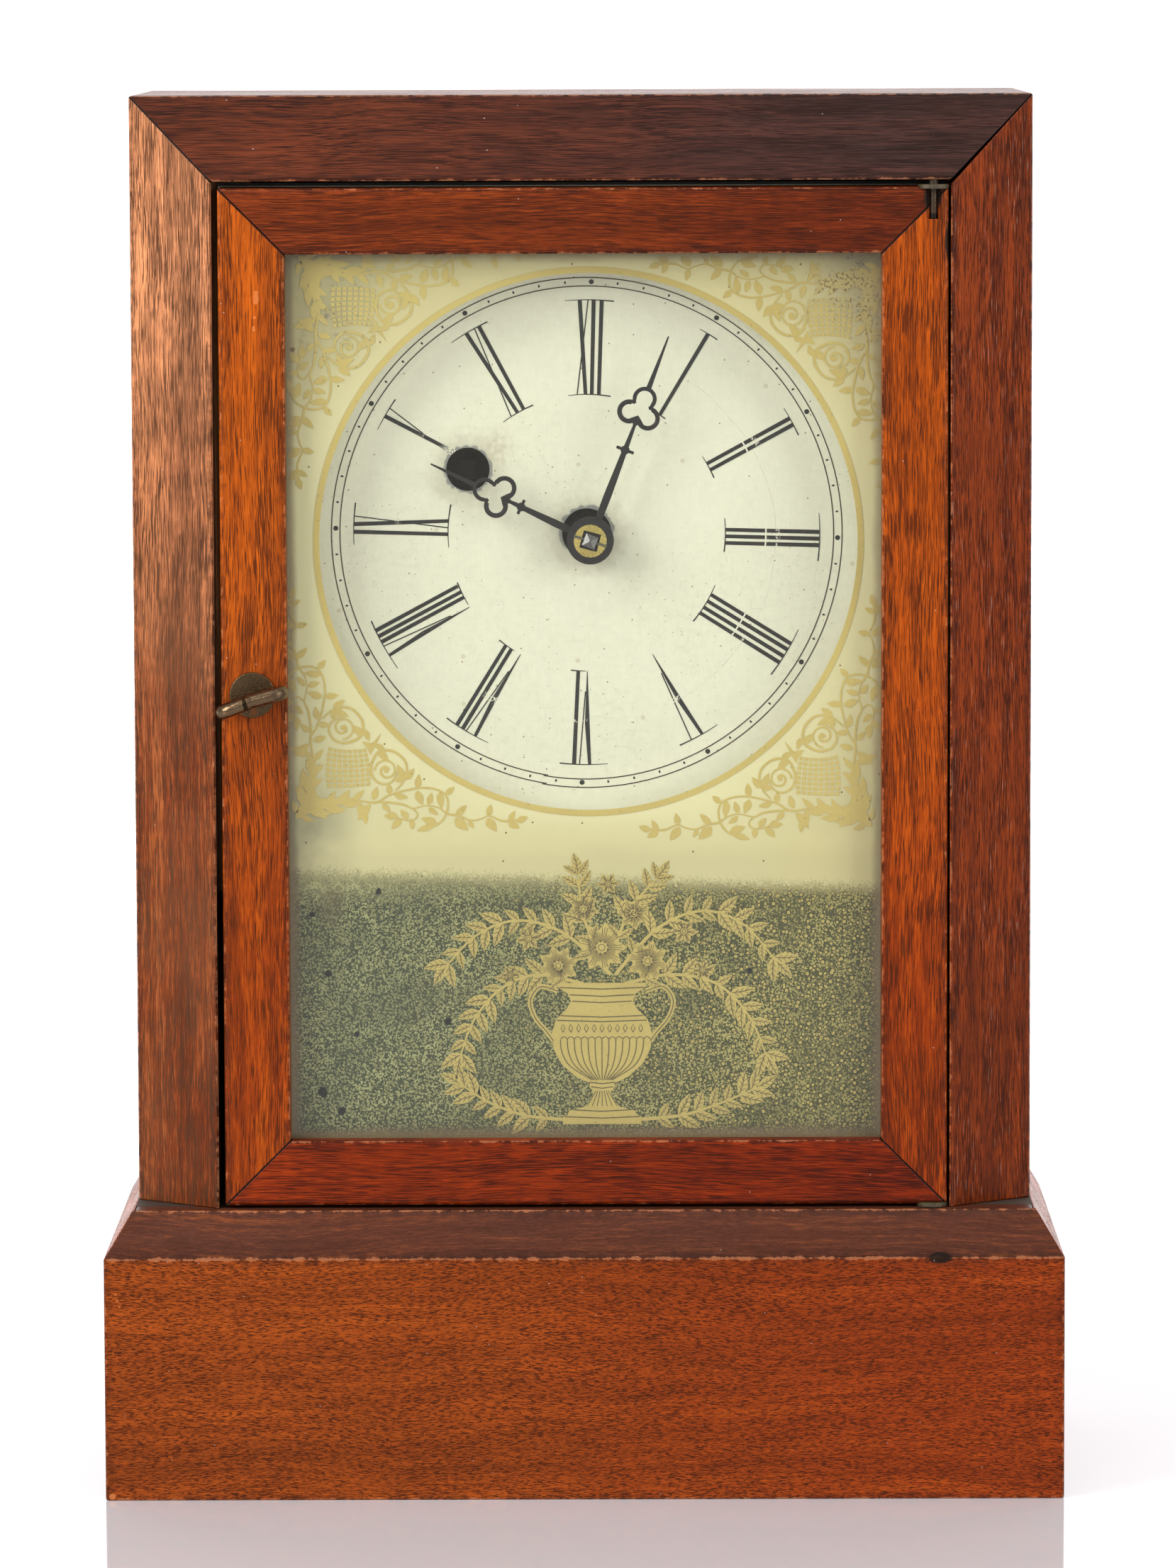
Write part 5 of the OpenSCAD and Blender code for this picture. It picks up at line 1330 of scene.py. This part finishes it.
def basket():
    """Woven cells in a curved four-sided panel, with a spike at its inner corner and solid root."""
    corners = ((2.6, 2.4), (12.2, 2.8), (11.3, 11.3), (3.0, 11.6))
    count = 8
    gap = 0.28

    def at(s, t):
        bow = 4 * t * (1 - t), 4 * s * (1 - s)
        sides = ((1 - s) * (1 - t), s * (1 - t), s * t, (1 - s) * t)
        x, z = (sum(k * c[i] for k, c in zip(sides, corners)) for i in (0, 1))
        return x + 0.45 * bow[0] * (2 * s - 1), z - 0.55 * bow[1] * (0.4 + 0.6 * t)

    cells = []
    for i in range(count):
        for j in range(count):
            a, b = (i + gap / 2) / count, (i + 1 - gap / 2) / count
            c, d = (j + gap / 2) / count, (j + 1 - gap / 2) / count
            cells.append(plate([at(a, c), at(b, c), at(b, d), at(a, d)]))
    cells.append(plate([(10.4, 12.6), (12.6, 12.2), (14.6, 14.4), (13.4, 11.9), (12.1, 9.6),
                        (11.6, 11.0), (11.0, 11.6)]))
    cells.append(plate([(-4.4, -4.3), (-3.0, -4.1), (-1.0, -3.0), (3.0, -1.9), (7.0, -0.9),
                        (8.8, -0.1), (6.6, 0.5), (3.0, 0.0), (0.4, 0.4), (0.0, 3.0), (0.5, 6.6),
                        (-0.1, 8.8), (-0.9, 7.0), (-1.9, 3.0), (-3.0, -1.0), (-4.2, -3.0)]))
    return cells


def leaf(x, z, long, angle, wide=1.3, bend=0.16):
    """One leaf from its stalk at x and z."""
    return placed(plate(leaf_outline(long, wide, bend)), shift(x, 0, z) @ turn(angle))


def ornament_half():
    """Half of a corner's scrollwork: spiral and volute, two vines that cross, and their leaves."""
    pieces = []
    coil = spiral(15.6, 6.2, 2.2, 180, 1.4)
    pieces.append(ribbon(coil, [0.42 + 0.35 * (i / len(coil)) ** 3 for i in range(len(coil))]))
    pieces.append(plate(circle(15.6, 6.2, 0.55, 12)))
    sweep = through([(18.0, 6.0), (17.0, 3.9), (15.0, 3.2), (12.9, 4.4), (12.3, 7.0), (13.4, 9.7),
                     (15.0, 10.6), (17.4, 10.3), (19.6, 8.4), (20.1, 6.0), (19.2, 3.6),
                     (17.6, 1.8)])
    count = len(sweep)
    pieces.append(ribbon(sweep, [0.3 + 0.3 * math.sin(math.pi * i / count) for i in range(count)]))
    upper = through([(6.9, 0.2), (10.4, -0.5), (13.4, -0.8), (15.8, 0.6), (17.8, 1.3), (20.6, 2.0),
                     (23.4, 2.4), (26.2, 2.1), (28.2, 1.1), (29.0, -0.6), (28.8, -2.8),
                     (27.9, -4.6), (26.4, -5.8), (25.0, -6.2)])
    pieces.append(ribbon(upper, 0.44))
    lower = through([(12.4, -0.7), (16.2, -0.8), (19.4, -1.3), (21.4, -2.1), (24.4, -1.5),
                     (27.0, -2.0), (28.9, -3.3), (31.4, -3.8), (34.0, -4.8), (36.4, -4.4),
                     (38.0, -3.8), (40.8, -4.9), (43.6, -4.8), (45.2, -5.0)])
    pieces.append(ribbon(lower, [0.4 + 0.12 * math.sin(i / 5) for i in range(len(lower))]))
    hook = through([(21.4, -2.2), (22.4, -3.4), (21.6, -4.6), (19.6, -4.6), (17.6, -4.0)])
    pieces.append(ribbon(hook, 0.34))
    for x, z, long, angle, wide in (
        (12.6, -0.2, 2.6, 62, 1.3), (12.2, -1.2, 3.9, 222, 1.5), (11.0, -2.6, 2.6, 262, 1.2),
        (14.8, -1.0, 2.2, -58, 1.1), (10.2, -0.9, 2.6, 250, 1.1), (16.2, 0.9, 2.2, 82, 1.2),
        (17.4, 0.9, 2.6, -22, 1.2), (19.4, 3.6, 3.6, 100, 1.5), (19.6, 4.2, 2.8, 40, 1.3),
        (19.2, 3.8, 2.0, 155, 1.0), (14.0, 10.9, 3.1, -62, 1.4), (15.2, 10.9, 2.4, 150, 1.1),
        (22.2, 2.2, 2.8, 72, 1.3), (22.4, 1.8, 2.9, -82, 1.5), (27.4, 1.6, 3.3, -96, 1.4),
        (28.4, 1.0, 2.2, 28, 1.2), (24.6, -1.3, 2.4, 62, 1.2), (24.8, -1.9, 2.3, -48, 1.1),
        (26.6, -5.6, 3.2, 150, 1.5), (25.8, -6.1, 3.2, 186, 1.2), (30.6, -3.6, 2.9, 32, 1.3),
        (30.6, -4.2, 3.4, -54, 1.9), (37.6, -3.8, 2.3, 64, 1.2), (37.6, -4.2, 3.1, -66, 1.7),
        (42.2, -4.9, 2.2, 48, 1.1), (42.2, -5.0, 2.5, -42, 1.4), (43.8, -4.9, 2.4, 8, 1.3),
        (18.0, -3.9, 2.6, 168, 1.5), (19.0, -4.4, 2.8, 214, 1.4), (20.2, -4.4, 2.2, 118, 1.2),
        (21.2, -4.6, 1.9, 262, 1.1), (33.6, -4.8, 1.8, -70, 0.9),
    ):
        pieces += leaf(x, z, long * 1.15, angle, wide * 1.25)
    for x, z, long, angle, wide in (
        (-1.4, -2.6, 5.0, -16, 2.0), (2.2, -2.0, 4.6, -14, 1.9), (5.6, -1.0, 4.6, -8, 1.7),
        (8.2, -0.2, 3.4, 30, 1.4), (-3.4, -3.2, 4.6, 30, 1.9), (-1.6, -2.6, 4.2, 50, 1.7),
        (0.4, -1.8, 4.0, 22, 1.7), (2.4, -1.2, 3.6, 46, 1.5), (4.2, -0.6, 3.8, 16, 1.5),
        (0.2, -2.4, 3.2, -46, 1.4), (-3.0, -3.8, 3.0, -30, 1.4), (5.6, -0.2, 3.0, 38, 1.3),
    ):
        pieces += leaf(x, z, long, angle, wide)
    return joined("ornament_half", pieces)


class CLOCK_OT_ornament(bpy.types.Operator):
    """Lays the gold ring and the four corner ornaments on the back of the glass"""

    bl_idname = "clock.ornament"
    bl_label = "Gold ornament"

    def execute(self, context):
        colours, sizes = context.scene.clock_colours, context.scene.clock_sizes
        gold = gold_leaf("corner_gold", colours.gold)
        middle = (sizes.ring_radius - sizes.ring_width / 2) / MM
        ring = ribbon(circle(RING_X, RING_Z, middle, 180), sizes.ring_width / MM, True)
        ring.data.transform(shift(0, GLASS_BACK + GOLD_DEPTH))
        settle(ring, "gold_ring", "door", gold)
        half = ornament_half()
        flip = Matrix(((0, 0, 1, 0), (0, 1, 0, 0), (1, 0, 0, 0), (0, 0, 0, 1)))
        corner = joined("corner", placed(half, Matrix.Identity(4), flip) + basket())
        corners = (
            ("lower_left", -58.4, 152.3, 1, 1), ("lower_right", 58.6, 150.2, -1, 1),
            ("upper_left", -56.7, 266.3, 1, -1), ("upper_right", 61.1, 263.6, -1, -1),
        )
        places = [
            shift(x, GLASS_BACK + GOLD_DEPTH, z) @ Matrix.Diagonal((across, 1, up, 1))
            for _, x, z, across, up in corners
        ]
        for piece, (name, *_) in zip(placed(corner, *places), corners):
            settle(piece, "gold_corner_" + name, "door", gold)
        return {"FINISHED"}


# The tablet's picture: an urn of flowers with leaf sprays, in millimetres from its own foot

URN_SIDE = (
    (0, 0), (8.6, 0), (8.6, 1.6), (7.6, 2.0), (7.2, 3.0), (4.0, 3.8), (2.3, 5.4), (1.9, 7.2),
    (2.8, 8.2), (2.6, 9.0), (5.6, 10.4), (8.8, 13.2), (10.6, 16.6), (11.0, 20.0), (10.0, 23.2),
    (7.6, 25.6), (6.8, 27.2), (7.4, 28.8), (9.6, 30.2), (9.8, 31.2), (0, 31.2),
)
URN_PLACE = (4.0, 80.5)


def veins(long, wide, count):
    """Fine lines on a leaf: its midrib and slanting side veins."""
    midrib = [(0.08 * long, 0.02 * long), (0.5 * long, 0.045 * long), (0.93 * long, 0.13 * long)]
    pieces = [ribbon(midrib, 0.13)]
    for i in range(count):
        t = 0.2 + 0.6 * i / count
        bend = 0.16 * long * t * t
        reach = wide * 0.36 * math.sin(math.pi * (t + 0.1))
        for side in (-1, 1):
            tip = ((t + 0.16) * long, bend + side * reach)
            pieces.append(ribbon([(t * long, bend), tip], 0.09))
    return joined("veins", pieces)


def bloom(radius, petals, rows):
    """A flower's petals and centre, then the fine lines on them."""
    gold, lines = placed(plate(circle(0, 0, radius * 0.24, 14)), shift(0, -0.02)), []
    for row in range(rows):
        reach = radius * (1 - 0.3 * row)
        petal = plate(leaf_outline(reach, reach * 0.62, 0.0))
        crease = joined("crease", [
            ribbon([(reach * 0.3, k * reach * 0.03), (reach * 0.8, k * reach * 0.11)], 0.09)
            for k in (-1, 0, 1)
        ])
        turns = [turn(360 * (i + 0.5 * row) / petals) for i in range(petals)]
        gold += placed(petal, *turns)
        lines += placed(crease, *turns)
    lines.append(ribbon(circle(0, 0, radius * 0.27, 16), 0.12, True))
    lines.append(ribbon(circle(0, 0, radius * 0.13, 12), 0.12, True))
    for i in range(petals):
        angle = math.radians(360 * (i + 0.5) / petals)
        near, far = radius * 0.3, radius * 0.5
        lines.append(ribbon([(near * math.cos(angle), near * math.sin(angle)),
                             (far * math.cos(angle), far * math.sin(angle))], 0.1))
    return joined("bloom", gold), joined("bloom_lines", lines)


SPRAYS = (
    ((2, 33), (-8, 42), (-18, 45), (-27, 42), (-34, 35)),
    ((3, 33), (12, 43), (22, 47), (31, 44), (38, 36)),
    ((-4, 31), (-14, 33), (-22, 30), (-28, 23), (-31, 15)),
    ((5, 31), (15, 33), (25, 31), (32, 24), (36, 15)),
    ((0, 36), (-4, 46), (-5, 55)),
    ((2, 36), (6, 47), (12, 54)),
    ((-8, 1), (-17, 2), (-25, 5), (-31, 9)),
    ((8, 1), (18, 2), (27, 5), (34, 8)),
)
BLOOMS = (
    (0, 39, 5.6, 9, 2), (-9.5, 35, 4.6, 8, 2), (10, 36, 4.8, 8, 2), (-4, 47.5, 3.6, 7, 2),
    (7, 46.5, 3.8, 7, 2), (-16, 41, 2.9, 6, 1), (18, 42.5, 3.0, 6, 1), (1.5, 53, 2.5, 6, 1),
    (-20, 33, 2.3, 6, 1), (22, 34, 2.4, 6, 1),
)


class CLOCK_OT_picture(bpy.types.Operator):
    """Draws the tablet's picture: a gold urn of flowers with leaf sprays and engraved lines"""

    bl_idname = "clock.picture"
    bl_label = "Tablet picture"

    def execute(self, context):
        colours = context.scene.clock_colours
        gold = gold_leaf("picture_gold", shade(colours.gold, 0.92))
        dark = engraving(srgb(84, 74, 44))
        outline = list(URN_SIDE) + [(-x, z) for x, z in URN_SIDE[-2:0:-1]]
        solid, lines = [plate(outline)], []
        for side in (-1, 1):
            handle = through([(side * x, z) for x, z in (
                (9.6, 29.4), (13.4, 30.4), (15.6, 27.4), (14.6, 23.6), (12.0, 20.4), (10.6, 18.4),
            )])
            solid.append(ribbon(handle, 1.1))
            lines.append(ribbon(handle, 0.16))
        for z, reach in ((1.7, 8.2), (3.2, 6.4), (8.3, 2.4), (9.3, 2.8), (23.0, 9.8), (24.0, 9.0),
                         (27.2, 6.5), (28.6, 7.0), (30.2, 9.3)):
            lines.append(ribbon([(-reach, z), (0, z - 0.35), (reach, z)], 0.2))
        for i in range(-6, 7):
            share = i / 6.6
            flute = ((2.4, 9.8), (7.6, 12.8), (9.6, 15.8), (10.0, 18.6))
            lines.append(ribbon(through([(x * share, z) for x, z in flute]), 0.16))
            lines.append(ribbon(arc(10.0 * (i + 0.5) / 6.6, 18.6, 0.72, 10, 170, 6), 0.14))
        for i in range(-5, 6):
            lines += placed(ribbon([(0, 0), (0.45, 0.9), (0, 1.8), (-0.45, 0.9), (0, 0)], 0.12),
                            shift(i * 1.7, 0, 20.3))
        for i in range(-3, 4):
            lines.append(ribbon([(i * 1.1, 4.0), (i * 0.45, 7.4)], 0.12))
        for path in SPRAYS:
            stem = through(path, 8)
            solid.append(ribbon(stem, [0.8 - 0.45 * i / len(stem) for i in range(len(stem))]))
            spots = tangents(stem)[4::3]
            sizes = [Matrix.Scale(0.8 + 0.1 * (i * 3 % 4), 4) for i in range(len(spots))]
            places = [
                shift(x, 0, z) @ turn(angle + side * 46) @ size
                for size, (x, z, angle) in zip(sizes, spots) for side in (-1, 1)
            ]
            places.append(shift(*(stem[-1][0], 0, stem[-1][1])) @ turn(spots[-1][2]))
            solid += placed(plate(leaf_outline(5.0, 2.3, 0.16)), *places)
            lines += placed(veins(5.0, 2.3, 3), *places)
        for x, z, radius, petals, rows in BLOOMS:
            flower, creases = bloom(radius, petals, rows)
            tip = shift(x, 0, z) @ turn(x * 3)
            solid += placed(flower, tip @ shift(0, -0.014))
            lines += placed(creases, tip)
        for name, pieces, depth, material in (
            ("picture_gold", solid, GOLD_DEPTH, gold), ("picture_lines", lines, LINE_DEPTH, dark),
        ):
            piece = joined(name, pieces)
            piece.data.transform(shift(URN_PLACE[0], GLASS_BACK + depth, URN_PLACE[1]))
            settle(piece, name, "door", material)
        return {"FINISHED"}


# The two sheets overlap between these heights, where the ground's painted edge fades out
FILM_FOOT, GROUND_HEAD = 127.0, 140.0


class CLOCK_OT_films(bpy.types.Operator):
    """Coats the back of the glass with yellowed varnish and the tablet's paint"""

    bl_idname = "clock.films"
    bl_label = "Varnish and tablet ground"

    def execute(self, context):
        colours, sizes = context.scene.clock_colours, context.scene.clock_sizes
        over = 0.3  # under the rebates, in millimetres
        left, right = SIGHT_LEFT - over, SIGHT_RIGHT + over
        for name, low, high, depth, material in (
            ("tablet_ground", SIGHT_FOOT - over, GROUND_HEAD, GROUND_DEPTH, tablet_paint(colours)),
            ("varnish_film", FILM_FOOT, SIGHT_HEAD + over, FILM_DEPTH,
             varnish_film(colours, sizes.ring_radius / MM)),
        ):
            nothing_selected()
            bpy.ops.mesh.primitive_plane_add(size=2)
            sheet = bpy.context.active_object
            corners = {(-1, -1): (left, low), (1, -1): (right, low), (1, 1): (right, high),
                       (-1, 1): (left, high)}
            for vertex in sheet.data.vertices:
                x, z = corners[(round(vertex.co.x), round(vertex.co.y))]
                vertex.co = (x * MM, (GLASS_BACK + depth) * MM, z * MM)
            edit_whole()
            bpy.ops.mesh.subdivide(number_cuts=7)
            bpy.ops.object.mode_set(mode="OBJECT")
            settle(sheet, name, "door", material)
        return {"FINISHED"}


# Each lamp's place, its width and height in metres, and its power in watts
LAMPS = (
    ("Left softbox", (-1.25, -0.95, 0.9), (0.9, 1.2), 24.5),
    ("Front lamp", (-0.45, -1.7, 0.85), (0.2, 0.2), 1.6),
    ("Right softbox", (1.35, -1.05, 0.7), (0.8, 1.1), 15.0),
    ("Overhead softbox", (0.0, -0.6, 1.6), (1.4, 1.0), 5.0),
)
# The camera's place in millimetres, its yaw, pitch and roll in degrees, and its lens
CAMERA_PLACE = (7.2, -1648.9, 329.9)
CAMERA_ANGLES = (-0.219, 6.17, -0.194)
CAMERA_LENS = 171.0
# The floor rises into a backdrop behind this, in metres
FLOOR_BACK = 3.9


class CLOCK_OT_stage(bpy.types.Operator):
    """Sets the pale floor, the soft studio light and the camera"""

    bl_idname = "clock.stage"
    bl_label = "Studio and camera"

    def execute(self, context):
        scene = context.scene
        nothing_selected()
        bpy.ops.mesh.primitive_plane_add(size=8, location=(0, 0, 0))
        floor = context.active_object
        edit_edges(floor, lambda end: end.y > FLOOR_BACK)
        bpy.ops.mesh.extrude_edges_move(TRANSFORM_OT_translate={"value": (0, 0, 4)})
        edit_edges(floor, lambda end: end.y > FLOOR_BACK and end.z < 0.1)
        bpy.ops.mesh.bevel(offset=1.6, segments=16, profile=0.5)
        bpy.ops.object.mode_set(mode="OBJECT")
        smooth(floor, 40)
        floor.name = "studio_floor"
        paint(floor, studio_floor())
        world = bpy.data.worlds.new("Studio")
        scene.world = world
        world.use_nodes = True
        sky = world.node_tree.nodes["Background"]
        sky.inputs["Color"].default_value = (1, 1, 1, 1)
        sky.inputs["Strength"].default_value = 0.5
        aim = Vector((0, 0, 0.16))
        for name, place, size, watts in LAMPS:
            nothing_selected()
            bpy.ops.object.light_add(type="AREA", location=place)
            lamp = context.active_object
            lamp.name = name
            lamp.data.shape = "RECTANGLE"
            lamp.data.size, lamp.data.size_y = size
            lamp.data.energy = watts
            lamp.rotation_euler = (aim - Vector(place)).to_track_quat("-Z", "Y").to_euler()
        scene.view_settings.view_transform = "Standard"
        yaw, pitch, roll = (math.radians(angle) for angle in CAMERA_ANGLES)
        level = math.cos(pitch)
        ahead = Vector((math.sin(yaw) * level, math.cos(yaw) * level, -math.sin(pitch)))
        right = Vector((math.cos(yaw), -math.sin(yaw), 0))
        up = right.cross(ahead)
        side = math.cos(roll) * right + math.sin(roll) * up
        rise = -math.sin(roll) * right + math.cos(roll) * up
        bpy.ops.object.camera_add()
        camera = context.active_object
        camera.name = "Photograph"
        camera.data.lens = CAMERA_LENS
        camera.data.sensor_width = 36.0
        turned = Matrix((side, rise, -ahead)).transposed().to_4x4()
        camera.matrix_world = shift(*CAMERA_PLACE) @ turned
        camera.data.clip_end = 50
        scene.camera = camera
        return {"FINISHED"}


OPERATORS = (
    CLOCK_OT_stage, CLOCK_OT_case, CLOCK_OT_door, CLOCK_OT_metalwork, CLOCK_OT_hands,
    CLOCK_OT_dial, CLOCK_OT_ornament, CLOCK_OT_picture, CLOCK_OT_films,
)


class CLOCK_PT_panel(bpy.types.Panel):
    """Sizes, colours and building steps of the clock"""

    bl_idname = "CLOCK_PT_panel"
    bl_label = "Cottage Clock"
    bl_space_type = "VIEW_3D"
    bl_region_type = "UI"
    bl_category = "Clock"

    def draw(self, context):
        for operator in OPERATORS:
            self.layout.operator(operator.bl_idname)
        for group in (context.scene.clock_sizes, context.scene.clock_colours):
            column = self.layout.column(align=True)
            for name in group.__annotations__:
                column.prop(group, name)


CLASSES = (ClockSizes, ClockColours, *OPERATORS, CLOCK_PT_panel)


def register():
    for item in CLASSES:
        bpy.utils.register_class(item)
    bpy.types.Scene.clock_sizes = PointerProperty(type=ClockSizes)
    bpy.types.Scene.clock_colours = PointerProperty(type=ClockColours)


def unregister():
    del bpy.types.Scene.clock_colours
    del bpy.types.Scene.clock_sizes
    for item in reversed(CLASSES):
        bpy.utils.unregister_class(item)


def main():
    register()
    for operator in OPERATORS:
        group, name = operator.bl_idname.split(".")
        getattr(getattr(bpy.ops, group), name)()
    nothing_selected()


if __name__ == "__main__":
    main()
